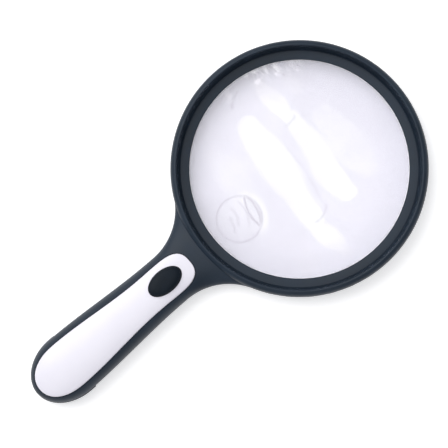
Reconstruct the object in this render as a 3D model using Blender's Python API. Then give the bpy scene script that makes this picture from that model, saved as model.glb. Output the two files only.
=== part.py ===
"""Hand-held low vision magnifier: a large ring-framed lens with a battery handle and hidden LEDs.

Metres, +Z up. The magnifier lies on its back: lens front and switch up, handle along +X.
The origin is under the middle of the whole object. Distances called s run along the handle
from the centre of the lens ring.
"""

import math

import bmesh
import bpy
from mathutils import Matrix, Vector

# ---- driving dimensions -------------------------------------------------------------------
HEAD_X = -0.064                 # centre of the lens ring
RING_RADIUS = 0.0760            # outer wall of the ring
APERTURE_RADIUS = 0.0650        # clear view inside the bezel
LENS_RADIUS = 0.0690
LENS_EDGE_LOW = 0.0062
LENS_EDGE_HIGH = 0.0082
LENS_FRONT_SAG = 0.0075
LENS_REAR_SAG = 0.0050
SPOT_S = 0.0463                 # bifocal spot on the handle side of the lens
SPOT_RADIUS = 0.0140
SPOT_RISE = 0.0020
FILM_RADIUS = 0.0645
FILM_THICKNESS = 0.0003

GAP = 0.0003                    # clearance between neighbouring pieces
PARTING_LOW = 0.0095            # top of the rear housing
PARTING_HIGH = 0.0098           # underside of the front housing
CREST_HEIGHT = 0.0188

NECK_ARC_S = 0.1005             # centre of the arcs that blend ring and handle
NECK_ARC_Y = 0.0539
NECK_ARC_RADIUS = 0.0380
WAIST_HALF_WIDTH = 0.0159
HEEL_HALF_WIDTH = 0.0192
WIDEST_S = 0.1790
TAIL_LENGTH = 0.0250
TAIL_S = WIDEST_S + TAIL_LENGTH
NECK_HEIGHT = 0.0170
CROWN_HEIGHT = 0.0222
KEEL_HEIGHT = 0.0009            # the rear face of the handle clears the table, the heel touches it
FRONT_ROUNDNESS = 2.4           # superellipse exponents of the handle's two halves
REAR_ROUNDNESS = 4.0
SHELL_WALL = 0.0019
BAY_WALL = 0.0013
FLOOR_WALL = 0.0016
ROOF_DEPTH = 0.0031             # crown to ceiling, with the panel's pocket in it

PANEL_START = 0.0845
PANEL_END = 0.2003
PANEL_NOSE_S = 0.1015           # where the panel's nose reaches its full width
PANEL_NOSE_HALF_WIDTH = 0.0111
PANEL_TAIL_S = 0.1780           # where its round tail begins
PANEL_PROUD = 0.0004
PANEL_DEPTH = 0.0013            # underside below the handle's surface
PANEL_PEGS = (0.1190, 0.1860)
PEG_RADIUS = 0.0012

BUTTON_S = 0.1030
BUTTON_HALF_LENGTH = 0.0112
BUTTON_HALF_WIDTH = 0.0066
BUTTON_SLOPE = 0.14
SWITCH_TOP = 0.0115
FLANGE_LOW = 0.0131
FLANGE_HIGH = 0.0143
FLANGE_REACH = 0.0012
PLUNGER_LOW = 0.0103
PLUNGER_RADIUS = 0.0017

HEEL_S = 0.1753                 # the fixed heel behind the battery door
BAY_START = 0.1242
BAY_END = 0.1747
BULKHEAD = 0.0016
CELL_RADIUS = 0.00525
CELL_LENGTH = 0.0445
CELL_PITCH = 0.0100
OUTER_CELL_Z = 0.0082
MIDDLE_CELL_Z = 0.0123
CELL_CENTRES = ((-CELL_PITCH, OUTER_CELL_Z), (0.0, MIDDLE_CELL_Z), (CELL_PITCH, OUTER_CELL_Z))
RIB_STATIONS = (0.1350, 0.1500, 0.1650)
RIB_HALF = 0.0008
PLATE = 0.0005                  # thickness of the contact plates
REACH = 0.0300                  # cutting tools reach this far to both sides of the handle

DOOR_PIVOT_S = 0.1223
DOOR_PIVOT_Z = 0.0023
DOOR_BARREL = 0.0014
DOOR_RIM_Z = 0.0046
BARREL_HALF = 0.0127

BOARD_LOW = 0.0067
BOARD_HIGH = 0.0079
BOARD_PINS = (0.0955, 0.1145)
PIN_RADIUS = 0.0008
LED_BOARD_LOW = 0.0084
LED_BOARD_HIGH = 0.0094
LED_RING = 0.0770               # the LEDs stand on this radius round the lens
LED_ANGLES = (-14.0, -5.0, 5.0, 14.0)
LED_RADIUS = 0.0024
LEAD_RADIUS = 0.0005
LEAD_Y = 0.0072                 # the long lead runs between the upper and an outer cell
LEAD_Z = 0.0152
NECK_STOP = 0.0739              # the ring's wall towards the hollow neck
RING_CORE = 0.0726              # the handle's bodies start inside the ring's wall

SCREWS = ((0.0880, -0.0120), (0.0880, 0.0120), (0.1850, -0.0085), (0.1850, 0.0085))
SCREW_SEAT = 0.0040
SHANK_RADIUS = 0.00105
BOSS_TOPS = (0.0147, 0.0147, 0.0183, 0.0183)

RING_STEPS = 56
GRIP_COUNT = 38


# ---- helpers ------------------------------------------------------------------------------
def clear_scene():
    for item in list(bpy.data.objects):
        bpy.data.objects.remove(item)


def finish_material(name, colour, roughness, metallic=0.0, transmission=0.0):
    material = bpy.data.materials.new(name)
    material.use_nodes = True
    shader = material.node_tree.nodes["Principled BSDF"]
    shader.inputs["Base Color"].default_value = (*colour, 1.0)
    shader.inputs["Roughness"].default_value = roughness
    shader.inputs["Metallic"].default_value = metallic
    shader.inputs["Transmission Weight"].default_value = transmission
    return material


def add_object(name, bm, material=None, sharp=32.0):
    """Turns a bmesh into an object; without a material it is a hidden tool body."""
    bmesh.ops.remove_doubles(bm, verts=bm.verts, dist=1e-7)
    bmesh.ops.recalc_face_normals(bm, faces=bm.faces)
    mesh = bpy.data.meshes.new(name)
    bm.to_mesh(mesh)
    bm.free()
    item = bpy.data.objects.new(name, mesh)
    bpy.context.scene.collection.objects.link(item)
    if material is None:
        item.hide_render = True
        item.display_type = "WIRE"
    else:
        mesh.materials.append(material)
        mesh.shade_smooth()
        mesh.set_sharp_from_angle(angle=math.radians(sharp))
    return item


def boolean(target, tool, operation):
    modifier = target.modifiers.new(tool.name, "BOOLEAN")
    modifier.operation = operation
    modifier.solver = "EXACT"
    modifier.object = tool


def cut(target, tool):
    boolean(target, tool, "DIFFERENCE")


def join(target, tool):
    boolean(target, tool, "UNION")


def set_origin(item, point):
    """Moves an object's origin to a point and leaves its shape where it is."""
    item.data.transform(Matrix.Translation(-Vector(point)))
    item.location = point


def loft(bm, sections):
    """Skins a row of closed outlines with equal point counts and caps both ends."""
    loops = []
    for outline in sections:
        verts = [bm.verts.new(point) for point in outline]
        loops.append([bm.edges.new(pair) for pair in zip(verts, verts[1:] + verts[:1])])
    for near, far in zip(loops, loops[1:]):
        bmesh.ops.bridge_loops(bm, edges=near + far)
    for end in (loops[0], loops[-1]):
        bmesh.ops.edgeloop_fill(bm, edges=end)


def revolve(bm, profile, steps, placement, closed=False):
    """Spins (radius, height) points round a local Z axis that placement puts in the world."""
    verts = [bm.verts.new((radius, 0.0, height)) for radius, height in profile]
    edges = [bm.edges.new(pair) for pair in zip(verts, verts[1:])]
    if closed:
        edges.append(bm.edges.new((verts[-1], verts[0])))
    bmesh.ops.spin(bm, geom=verts + edges, cent=(0, 0, 0), axis=(0, 0, 1), angle=2 * math.pi,
                   steps=steps, use_merge=True)
    new = {vert for vert in bm.verts if not vert.tag}
    bmesh.ops.transform(bm, matrix=placement, verts=list(new))
    for vert in bm.verts:
        vert.tag = True


def upright(s, y=0.0, z=0.0):
    return Matrix.Translation((HEAD_X + s, y, z))


def lengthwise(s, y, z):
    """Local +Z runs along +X."""
    return Matrix.Translation((HEAD_X + s, y, z)) @ Matrix.Rotation(math.pi / 2, 4, "Y")


def rod(bm, radius, length, placement, steps=16):
    """A plain round bar that starts at the placement and runs along its local Z."""
    middle = placement @ Matrix.Translation((0, 0, length / 2))
    bmesh.ops.create_cone(bm, cap_ends=True, segments=steps, radius1=radius, radius2=radius,
                          depth=length, matrix=middle)


def block(bm, low, high):
    """A box between two corners given as (s, y, z)."""
    size = [b - a for a, b in zip(low, high)]
    centre = [(a + b) / 2 for a, b in zip(low, high)]
    matrix = upright(*centre) @ Matrix.Diagonal((*size, 1.0))
    bmesh.ops.create_cube(bm, size=1.0, matrix=matrix)


def ease(value, start, end):
    u = min(max((value - start) / (end - start), 0.0), 1.0)
    return u * u * (3.0 - 2.0 * u)


def spread(start, end, count):
    return [start + (end - start) * i / (count - 1) for i in range(count)]


# ---- the handle's form --------------------------------------------------------------------
def handle_half_width(s, grow=0.0):
    """Half the handle's width at s: ring circle, neck arc, slow taper, elliptical tail."""
    touch = NECK_ARC_S * RING_RADIUS / (RING_RADIUS + NECK_ARC_RADIUS)
    if s < touch:
        return math.sqrt((RING_RADIUS - GAP + grow) ** 2 - s * s)
    if s < NECK_ARC_S:
        return NECK_ARC_Y - math.sqrt(NECK_ARC_RADIUS ** 2 - (NECK_ARC_S - s) ** 2) + grow
    if s < WIDEST_S:
        swell = (HEEL_HALF_WIDTH - WAIST_HALF_WIDTH) * ease(s, 0.104, WIDEST_S)
        return WAIST_HALF_WIDTH + swell + grow
    reach = min((s - WIDEST_S) / (TAIL_LENGTH + grow), 1.0)
    return (HEEL_HALF_WIDTH + grow) * math.sqrt(1.0 - reach * reach)


def tail_fullness(s):
    """1 along the handle, falling to 0 as the section closes round the tail."""
    u = min(max((s - 0.172) / 0.0323, 0.0), 1.0)
    return (1.0 - u ** 2.4) ** (1 / 2.4)


def crown_height(s):
    rise = (0.0218 - NECK_HEIGHT) * ease(s, 0.076, 0.110)
    rise += (CROWN_HEIGHT - 0.0218) * ease(s, 0.110, 0.150)
    return PARTING_LOW + (NECK_HEIGHT + rise - PARTING_LOW) * tail_fullness(s)


def keel_height(s):
    low = 0.0 if s > HEEL_S else KEEL_HEIGHT
    return PARTING_LOW - (PARTING_LOW - low) * tail_fullness(s)


def rear_half_width(s):
    """The rear half sits a little inside the front one, and its heel stands proud."""
    return handle_half_width(s, 0.0004 if s > HEEL_S else -0.0004)


def surface_height(s, y):
    """Height of the handle's front surface."""
    across = min(abs(y) / handle_half_width(s), 1.0)
    bulge = (1.0 - across ** FRONT_ROUNDNESS) ** (1 / FRONT_ROUNDNESS)
    return PARTING_LOW + (crown_height(s) - PARTING_LOW) * bulge


def arch(s, half_width, base, top, roundness, steps, skirt=0.0):
    """Half a superellipse over a flat base; skirt carries its sides past the base."""
    points = []
    for i in range(steps + 1):
        angle = math.pi * i / steps
        cosine = math.cos(angle)
        y = half_width * math.copysign(abs(cosine) ** (2 / roundness), cosine)
        z = base + (top - base) * max(math.sin(angle), 0.0) ** (2 / roundness)
        points.append((HEAD_X + s, y, z))
    if skirt:
        points.append((HEAD_X + s, -half_width, base - skirt))
        points.append((HEAD_X + s, half_width, base - skirt))
    return points


def handle_stations(end):
    neck = spread(0.062, 0.0985, 9)
    middle = [0.108, 0.118, 0.130, 0.143, 0.156, 0.167, HEEL_S - 0.0001, HEEL_S + 0.0001]
    tail = [0.176 + (end - 0.176) * math.sin(math.radians(15 * i)) for i in range(1, 7)]
    return neck + middle + tail


def front_handle_body():
    bm = bmesh.new()
    sections = []
    for s in handle_stations(TAIL_S - GAP):
        sections.append(arch(s, handle_half_width(s), PARTING_HIGH, crown_height(s), FRONT_ROUNDNESS, 16))
    loft(bm, sections)
    return add_object("front_handle_body", bm)


def rear_handle_body():
    bm = bmesh.new()
    sections = []
    for s in handle_stations(TAIL_S):
        sections.append(arch(s, rear_half_width(s), PARTING_LOW, keel_height(s), REAR_ROUNDNESS, 12))
    loft(bm, sections)
    return add_object("rear_handle_body", bm)


def well_tool(name, radius):
    """A round core over the lens that stops a body at the ring's wall."""
    bm = bmesh.new()
    rod(bm, radius, 0.040, upright(0.0, 0.0, -0.010), RING_STEPS)
    return add_object(name, bm)


def bulkhead_boxes(bm, low, high):
    block(bm, (BAY_START - BULKHEAD, -REACH, low), (BAY_START, REACH, high))
    block(bm, (BAY_END, -REACH, low), (BAY_END + BULKHEAD, REACH, high))


def hollow_half_width(s, outline):
    wall = SHELL_WALL + (BAY_WALL - SHELL_WALL) * (ease(s, 0.112, 0.122) - ease(s, 0.176, 0.186))
    return min(outline(s) - wall, 0.024)


def hollow_stations():
    return spread(0.062, 0.098, 7) + spread(0.110, 0.194, 9)


def front_hollow():
    """The space inside the front half, broken by two bulkheads and the cell ribs."""
    bm = bmesh.new()
    sections = []
    for s in hollow_stations():
        half = hollow_half_width(s, handle_half_width)
        roof = crown_height(s) - ROOF_DEPTH
        sections.append(arch(s, half, PARTING_HIGH, roof, FRONT_ROUNDNESS, 10, 0.002))
    loft(bm, sections)
    hollow = add_object("front_hollow", bm)
    cut(hollow, well_tool("front_hollow_stop", NECK_STOP))
    bm = bmesh.new()
    bulkhead_boxes(bm, 0.005, 0.030)
    for s in RIB_STATIONS:
        block(bm, (s - RIB_HALF, -REACH, 0.005), (s + RIB_HALF, REACH, 0.030))
    cut(hollow, add_object("front_rib_spaces", bm))
    return hollow


def rear_hollow():
    bm = bmesh.new()
    sections = []
    for s in hollow_stations():
        half = hollow_half_width(s, rear_half_width)
        floor = keel_height(s) + FLOOR_WALL
        sections.append(arch(s, half, PARTING_LOW, floor, REAR_ROUNDNESS, 10, -0.002))
    loft(bm, sections)
    hollow = add_object("rear_hollow", bm)
    cut(hollow, well_tool("rear_hollow_stop", NECK_STOP))
    bm = bmesh.new()
    bulkhead_boxes(bm, -0.002, 0.015)
    cut(hollow, add_object("rear_bulkhead_spaces", bm))
    return hollow


def cell_channels():
    """Three round channels that leave the cells a little room; each overlaps the next."""
    channels = []
    for number, (y, z) in enumerate(CELL_CENTRES, 1):
        bm = bmesh.new()
        rod(bm, CELL_RADIUS + GAP, BAY_END - BAY_START, lengthwise(BAY_START, y, z), 20)
        channels.append(add_object(f"cell_channel_{number}", bm))
    return channels


def lead_notch():
    """A passage through ribs and bulkheads for the long negative lead."""
    bm = bmesh.new()
    rod(bm, 2.2 * LEAD_RADIUS, 0.062, lengthwise(0.118, LEAD_Y, LEAD_Z), 10)
    return add_object("lead_notch", bm)


# ---- the ring -----------------------------------------------------------------------------
def front_ring():
    """Bezel with a lip over the lens, a flat band, a small groove and a high rounded crest."""
    profile = [
        (APERTURE_RADIUS, 0.0096), (0.0674, 0.0093), (0.0690, 0.0088), (0.0690, PARTING_HIGH),
        (RING_RADIUS, PARTING_HIGH), (RING_RADIUS, 0.0146), (0.0754, 0.0165), (0.0742, 0.0180),
        (0.0727, CREST_HEIGHT), (0.0719, 0.0183), (0.0708, 0.0119), (0.0704, 0.0110),
        (APERTURE_RADIUS, 0.0106),
    ]
    bm = bmesh.new()
    revolve(bm, profile, RING_STEPS, upright(0.0), closed=True)
    return bm


def rear_ring():
    """Rear half of the ring: lens seat inside, tapered wall with grip pads outside."""
    wall_top = (0.0755, 0.0088)
    wall_foot = (0.0749, 0.0030)
    profile = [
        (0.0654, 0.0053), (0.0693, 0.0058), (0.0693, PARTING_LOW), (0.0754, PARTING_LOW), wall_top,
        wall_foot, (0.0738, 0.0010), (0.0718, 0.0), (0.0676, 0.0), (0.0654, 0.0016),
    ]
    bm = bmesh.new()
    revolve(bm, profile, 2 * GRIP_COUNT, upright(0.0), closed=True)
    pads = []
    for face in bm.faces:
        centre = face.calc_center_median() - Vector((HEAD_X, 0, 0))
        angle = math.degrees(math.atan2(centre.y, centre.x))
        on_wall = abs(centre.z - (wall_top[1] + wall_foot[1]) / 2) < 0.0005 and centre.xy.length > 0.074
        odd = int(math.floor((angle % 360.0) / (180.0 / GRIP_COUNT))) % 2 == 1
        if on_wall and odd and abs(angle) > 34.0:
            pads.append(face)
    bmesh.ops.recalc_face_normals(bm, faces=bm.faces)
    bmesh.ops.inset_individual(bm, faces=pads, thickness=0.0007, depth=0.0007, use_even_offset=True)
    return bm


# ---- housings -----------------------------------------------------------------------------
def panel_half_width(s, grow=0.0):
    """Half the white panel's width: blunt round nose, slow taper, round tail."""
    if s < PANEL_NOSE_S:
        reach = min((PANEL_NOSE_S - s) / (PANEL_NOSE_S - PANEL_START + grow), 1.0)
        return (PANEL_NOSE_HALF_WIDTH + grow) * (1.0 - reach ** 2.9) ** (1 / 2.9)
    width = PANEL_NOSE_HALF_WIDTH - 0.0002 * ease(s, PANEL_NOSE_S, 0.112)
    width += 0.00365 * ease(s, 0.116, PANEL_TAIL_S)
    reach = min(max((s - PANEL_TAIL_S) / (PANEL_END - PANEL_TAIL_S + grow), 0.0), 1.0)
    return (width + grow) * (1.0 - reach ** 2.2) ** (1 / 2.2)


def panel_shape(name, grow, above, below, edge_drop, material=None):
    """The panel, or its pocket: a skin that follows the handle's front surface."""
    first = PANEL_START - grow
    last = PANEL_END + grow
    round_end = (20, 38, 54, 68, 80, 86.5)
    stations = [first + 0.012 * (1 - math.cos(math.radians(a))) for a in (9, 25, 45, 67, 90)]
    stations += spread(PANEL_NOSE_S, PANEL_TAIL_S - 0.002, 7)
    stations += [PANEL_TAIL_S + (last - PANEL_TAIL_S) * math.sin(math.radians(a)) for a in round_end]
    columns = 8
    bm = bmesh.new()
    sections = []
    for s in stations:
        half = panel_half_width(s, grow)
        ys = [half * (2 * i / columns - 1) for i in range(columns + 1)]
        top = []
        for i, y in enumerate(ys):
            rim = edge_drop if i in (0, columns) else 0.0
            top.append((HEAD_X + s, y, surface_height(s, y) + above - rim))
        low = [(HEAD_X + s, y, surface_height(s, y) - below) for y in reversed(ys)]
        sections.append(top + low)
    loft(bm, sections)
    return add_object(name, bm, material)


def oval_tool(name, grow, low, high):
    bm = bmesh.new()
    matrix = upright(BUTTON_S, 0.0, (low + high) / 2)
    matrix = matrix @ Matrix.Diagonal((BUTTON_HALF_LENGTH + grow, BUTTON_HALF_WIDTH + grow, 1.0, 1.0))
    bmesh.ops.create_cone(bm, cap_ends=True, segments=36, radius1=1.0, radius2=1.0,
                          depth=high - low, matrix=matrix)
    return add_object(name, bm)


def panel_pegs(name, radius, low):
    bm = bmesh.new()
    for s in PANEL_PEGS:
        top = surface_height(s, 0.0) - 0.0005
        rod(bm, radius, top - low, upright(s, 0.0, low), 12)
    return add_object(name, bm)


def build_front_housing(material, channels):
    bm = front_ring()
    housing = add_object("front_housing", bm, material)
    body = front_handle_body()
    cut(body, well_tool("front_body_stop", RING_CORE))
    join(housing, body)
    cut(housing, front_hollow())
    for channel in channels:
        cut(housing, channel)
    cut(housing, lead_notch())
    bm = bmesh.new()
    for (s, y), top in zip(SCREWS, BOSS_TOPS):
        rod(bm, 0.0029, top - PARTING_HIGH, upright(s, y, PARTING_HIGH), 14)
    join(housing, add_object("front_bosses", bm))
    bm = bmesh.new()
    for s, y in SCREWS:
        rod(bm, SHANK_RADIUS + GAP, 0.006, upright(s, y, 0.0075), 12)
    cut(housing, add_object("pilot_holes", bm))
    cut(housing, panel_shape("panel_pocket", 0.00035, 0.004, PANEL_DEPTH + GAP, 0.0))
    cut(housing, oval_tool("button_hole", 0.00035, 0.012, 0.030))
    cut(housing, panel_pegs("peg_holes", PEG_RADIUS + GAP, 0.016))
    return housing


def door_opening():
    """Everything that the battery door and its barrel fill, with their clearances."""
    bm = bmesh.new()
    block(bm, (DOOR_PIVOT_S, -REACH, -0.002), (HEEL_S - 0.0002, REACH, DOOR_RIM_Z + GAP))
    opening = add_object("door_opening", bm)
    bm = bmesh.new()
    room = DOOR_BARREL + GAP
    side = BARREL_HALF + GAP
    block(bm, (DOOR_PIVOT_S - room, -side, -0.001), (DOOR_PIVOT_S + room, side, DOOR_PIVOT_Z + room))
    join(opening, add_object("barrel_room", bm))
    return opening


def build_rear_housing(material, channels):
    bm = rear_ring()
    housing = add_object("rear_housing", bm, material)
    body = rear_handle_body()
    cut(body, well_tool("rear_body_stop", RING_CORE))
    join(housing, body)
    cut(housing, rear_hollow())
    cut(housing, door_opening())
    for channel in channels:
        cut(housing, channel)
    bm = bmesh.new()
    foot = KEEL_HEIGHT + 0.0009
    for s, y in SCREWS:
        rod(bm, 0.0036, PARTING_LOW - foot, upright(s, y, foot), 14)
    for s in BOARD_PINS:
        rod(bm, 0.0018, BOARD_LOW - GAP - foot, upright(s, 0.0, foot), 12)
        rod(bm, PIN_RADIUS, 0.0040, upright(s, 0.0, 0.0046), 10)
    join(housing, add_object("rear_bosses", bm))
    bm = bmesh.new()
    shank = SHANK_RADIUS + GAP
    stepped = [(0.0, -0.001), (0.0027, -0.001), (0.0027, SCREW_SEAT), (shank, SCREW_SEAT), (shank, 0.011),
               (0.0, 0.011)]
    for s, y in SCREWS:
        revolve(bm, stepped, 14, upright(s, y))
    for angle in LED_ANGLES:
        s = LED_RING * math.cos(math.radians(angle))
        y = LED_RING * math.sin(math.radians(angle))
        rod(bm, LED_RADIUS + GAP, 0.0085, upright(s, y, -0.002), 14)
    cut(housing, add_object("rear_holes", bm))
    return housing


# ---- optics -------------------------------------------------------------------------------
def lens_front(radius):
    return LENS_EDGE_HIGH + LENS_FRONT_SAG * (1 - (radius / LENS_RADIUS) ** 2)


def lens_rear(radius):
    return LENS_EDGE_LOW - LENS_REAR_SAG * (1 - (radius / LENS_RADIUS) ** 2)


def spot_cap(name, lift, rings=5, steps=28):
    """The strong spot: a shallow cap square to the main lens's sloping surface."""
    slope = math.atan(2 * LENS_FRONT_SAG * SPOT_S / LENS_RADIUS ** 2)
    radius = SPOT_RADIUS + lift
    profile = []
    for i in range(rings + 1):
        rise = SPOT_RISE * (1 - (i / rings) ** 2) + 0.0002
        profile.append((radius * i / rings, rise + lift))
    profile.append((radius, -0.0012))
    profile.append((0.0, -0.0012))
    bm = bmesh.new()
    placement = upright(SPOT_S, 0.0, lens_front(SPOT_S)) @ Matrix.Rotation(slope, 4, "Y")
    revolve(bm, profile, steps, placement)
    return add_object(name, bm)


def dome(bm, radius, lift, low):
    profile = [(distance, lens_front(distance) + lift) for distance in spread(0.0, radius, 6)]
    profile += [(radius, low), (0.0, low)]
    revolve(bm, profile, 40, upright(0.0))


def build_main_lens(material):
    profile = [(radius, lens_rear(radius)) for radius in spread(0.0, LENS_RADIUS, 5)]
    profile += [(radius, lens_front(radius)) for radius in spread(LENS_RADIUS, 0.0, 7)]
    bm = bmesh.new()
    revolve(bm, profile, 48, upright(0.0))
    lens = add_object("main_lens", bm, material)
    join(lens, spot_cap("spot_lens", 0.0))
    return lens


def build_lens_film(material):
    """Thin protective film that lies over the lens and its spot."""
    bm = bmesh.new()
    dome(bm, FILM_RADIUS, GAP + FILM_THICKNESS, 0.0080)
    film = add_object("lens_film", bm, material)
    join(film, spot_cap("film_spot", GAP + FILM_THICKNESS, 3, 20))
    bm = bmesh.new()
    dome(bm, FILM_RADIUS + 0.002, GAP, 0.0060)
    under = add_object("film_under", bm)
    join(under, spot_cap("film_spot_under", GAP, 3, 20))
    cut(film, under)
    return film


# ---- handle fittings ----------------------------------------------------------------------
def build_handle_panel(material):
    panel = panel_shape("handle_panel", 0.0, PANEL_PROUD, PANEL_DEPTH, 0.0005, material)
    join(panel, panel_pegs("panel_pegs", PEG_RADIUS, 0.0165))
    cut(panel, oval_tool("panel_oval", 0.0004, 0.010, 0.030))
    return panel


def oval(scale_length, scale_width, z, slope, shift=0.0, steps=28):
    points = []
    for i in range(steps):
        angle = 2 * math.pi * i / steps
        x = scale_length * math.cos(angle) + shift
        points.append((HEAD_X + BUTTON_S + x, scale_width * math.sin(angle), z + slope * x))
    return points


def build_switch_button(material):
    """Oval push button: captive flange, straight sides, a dome that peaks towards the lens."""
    rim = surface_height(BUTTON_S, 0.0) + 0.0004
    length, width = BUTTON_HALF_LENGTH, BUTTON_HALF_WIDTH
    sections = [
        oval(length + FLANGE_REACH, width + FLANGE_REACH, FLANGE_LOW, 0.0),
        oval(length + FLANGE_REACH, width + FLANGE_REACH, FLANGE_HIGH, 0.0),
        oval(length, width, FLANGE_HIGH, 0.0),
        oval(length, width, rim, BUTTON_SLOPE),
    ]
    sizes = (0.94, 0.82, 0.60, 0.30)
    rises = (0.0008, 0.0015, 0.0020, 0.00225)
    shifts = (-0.0002, -0.0006, -0.0012, -0.0018)
    for size, rise, shift in zip(sizes, rises, shifts):
        sections.append(oval(length * size, width * size, rim + rise, BUTTON_SLOPE, shift))
    bm = bmesh.new()
    loft(bm, sections)
    button = add_object("switch_button", bm, material)
    set_origin(button, (HEAD_X + BUTTON_S, 0.0, FLANGE_LOW))
    return button


def build_switch(body_material, plunger_material):
    bm = bmesh.new()
    block(bm, (BUTTON_S - 0.003, -0.003, BOARD_HIGH + GAP), (BUTTON_S + 0.003, 0.003, SWITCH_TOP))
    body = add_object("switch_body", bm, body_material)
    bm = bmesh.new()
    rod(bm, PLUNGER_RADIUS + 0.0004, 0.004, upright(BUTTON_S, 0.0, 0.0088), 16)
    cut(body, add_object("plunger_bore", bm))
    bm = bmesh.new()
    rod(bm, PLUNGER_RADIUS, FLANGE_LOW - GAP - PLUNGER_LOW, upright(BUTTON_S, 0.0, PLUNGER_LOW), 16)
    plunger = add_object("switch_plunger", bm, plunger_material)
    set_origin(plunger, (HEAD_X + BUTTON_S, 0.0, PLUNGER_LOW))


def build_boards(material):
    bm = bmesh.new()
    block(bm, (0.0925, -0.0085, BOARD_LOW), (0.1175, 0.0085, BOARD_HIGH))
    board = add_object("switch_board", bm, material)
    bm = bmesh.new()
    for s in BOARD_PINS:
        rod(bm, PIN_RADIUS + GAP, 0.006, upright(s, 0.0, 0.005), 10)
    cut(board, add_object("board_holes", bm))

    bm = bmesh.new()
    near, far = LED_RING - 0.0024, LED_RING + 0.0024
    corners = ((near, LED_BOARD_LOW), (far, LED_BOARD_LOW), (far, LED_BOARD_HIGH), (near, LED_BOARD_HIGH))
    sections = []
    for angle in spread(math.radians(-16.0), math.radians(16.0), 9):
        cosine = math.cos(angle)
        sine = math.sin(angle)
        sections.append([(HEAD_X + radius * cosine, radius * sine, z) for radius, z in corners])
    loft(bm, sections)
    add_object("led_board", bm, material)


def build_leds(material):
    top = LED_BOARD_LOW - GAP
    profile = [(0.0, top), (0.00275, top), (0.00275, top - 0.0010), (LED_RADIUS, top - 0.0010)]
    tip = 0.0012
    for angle in (0, 30, 60, 90):
        radius = LED_RADIUS * math.cos(math.radians(angle))
        profile.append((radius, tip + LED_RADIUS * (1 - math.sin(math.radians(angle)))))
    for number, angle in enumerate(LED_ANGLES, 1):
        bm = bmesh.new()
        s = LED_RING * math.cos(math.radians(angle))
        y = LED_RING * math.sin(math.radians(angle))
        revolve(bm, profile, 14, upright(s, y))
        add_object(f"led_{number}", bm, material)


def tube(name, points, radius, material):
    """A round wire along hand-placed (s, y, z) points, smoothed by a Catmull-Rom curve."""
    route = [Vector((HEAD_X + s, y, z)) for s, y, z in points]
    route = [2 * route[0] - route[1]] + route + [2 * route[-1] - route[-2]]
    path = []
    for a, b, c, d in zip(route, route[1:], route[2:], route[3:]):
        for k in range(4):
            t = k / 4
            path.append(0.5 * (2 * b + (c - a) * t + (2 * a - 5 * b + 4 * c - d) * t * t
                               + (3 * b - a - 3 * c + d) * t ** 3))
    path.append(route[-2])
    wire(name, path, radius, material)


def wire(name, path, radius, material):
    curve = bpy.data.curves.new(name, "CURVE")
    curve.dimensions = "3D"
    curve.bevel_depth = radius
    curve.bevel_resolution = 1
    curve.use_fill_caps = True
    spline = curve.splines.new("POLY")
    spline.points.add(len(path) - 1)
    for point, place in zip(spline.points, path):
        point.co = (*place, 1.0)
    curve.materials.append(material)
    item = bpy.data.objects.new(name, curve)
    bpy.context.scene.collection.objects.link(item)


def build_resistor(material):
    profile = [(0.0, 0.0), (0.0009, 0.0), (0.0012, 0.0003), (0.0012, 0.0012), (0.0010, 0.0017),
               (0.0010, 0.0043), (0.0012, 0.0048), (0.0012, 0.0057), (0.0009, 0.0060), (0.0, 0.0060)]
    bm = bmesh.new()
    centre = Matrix.Translation((HEAD_X + 0.1100, -0.0030, BOARD_HIGH + GAP + 0.0012))
    revolve(bm, profile, 10, centre @ Matrix.Rotation(-math.pi / 2, 4, "X"))
    add_object("led_resistor", bm, material)


def build_cells(material):
    inner = BAY_START + GAP + PLATE + GAP
    far = BAY_END - GAP - PLATE - GAP
    profile = [(0.0, 0.0), (0.0019, 0.0), (0.0019, 0.0009), (0.0047, 0.0011), (CELL_RADIUS, 0.0016),
               (CELL_RADIUS, CELL_LENGTH - 0.0004), (0.0048, CELL_LENGTH), (0.0, CELL_LENGTH)]
    for number, (y, z) in enumerate(CELL_CENTRES, 1):
        bm = bmesh.new()
        placement = lengthwise(inner, y, z)
        if number == 2:
            placement = lengthwise(far, y, z) @ Matrix.Rotation(math.pi, 4, "X")
        revolve(bm, profile, 18, placement)
        add_object(f"battery_{number}", bm, material)


def build_springs(material):
    """Conical springs at each cell's negative end, the wide turn at the contact plate."""
    length = BAY_END - BAY_START - CELL_LENGTH - 2 * PLATE - 6 * GAP
    wire_radius = 0.00027
    turns, per_turn = 3.25, 9
    for number, (y, z) in enumerate(CELL_CENTRES, 1):
        at_head = number == 2
        base = BAY_START + GAP + PLATE + GAP if at_head else BAY_END - GAP - PLATE - GAP
        direction = 1.0 if at_head else -1.0
        path = []
        count = int(turns * per_turn)
        for i in range(count + 1):
            u = i / count
            angle = 2 * math.pi * turns * u
            radius = 0.0034 - 0.0015 * u
            along = base + direction * (wire_radius + (length - 2 * wire_radius) * u)
            path.append((HEAD_X + along, y + radius * math.cos(angle), z + radius * math.sin(angle)))
        wire(f"battery_spring_{number}", path, wire_radius, material)


def plate(name, low, high, material):
    bm = bmesh.new()
    block(bm, low, high)
    add_object(name, bm, material)


def build_contacts(material):
    head = BAY_START + GAP
    tail = BAY_END - GAP
    low, high = 0.0056, 0.0120
    edge, bridge_edge, bridge_high = 0.0130, 0.0120, 0.0140
    plate("contact_positive", (head, -edge, low), (head + PLATE, -0.0062, high), material)
    plate("contact_bridge_head", (head, -0.0040, low), (head + PLATE, bridge_edge, bridge_high), material)
    plate("contact_bridge_tail", (tail - PLATE, -bridge_edge, low), (tail, 0.0040, bridge_high), material)
    plate("contact_negative", (tail - PLATE, 0.0062, low), (tail, edge, high), material)


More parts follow.
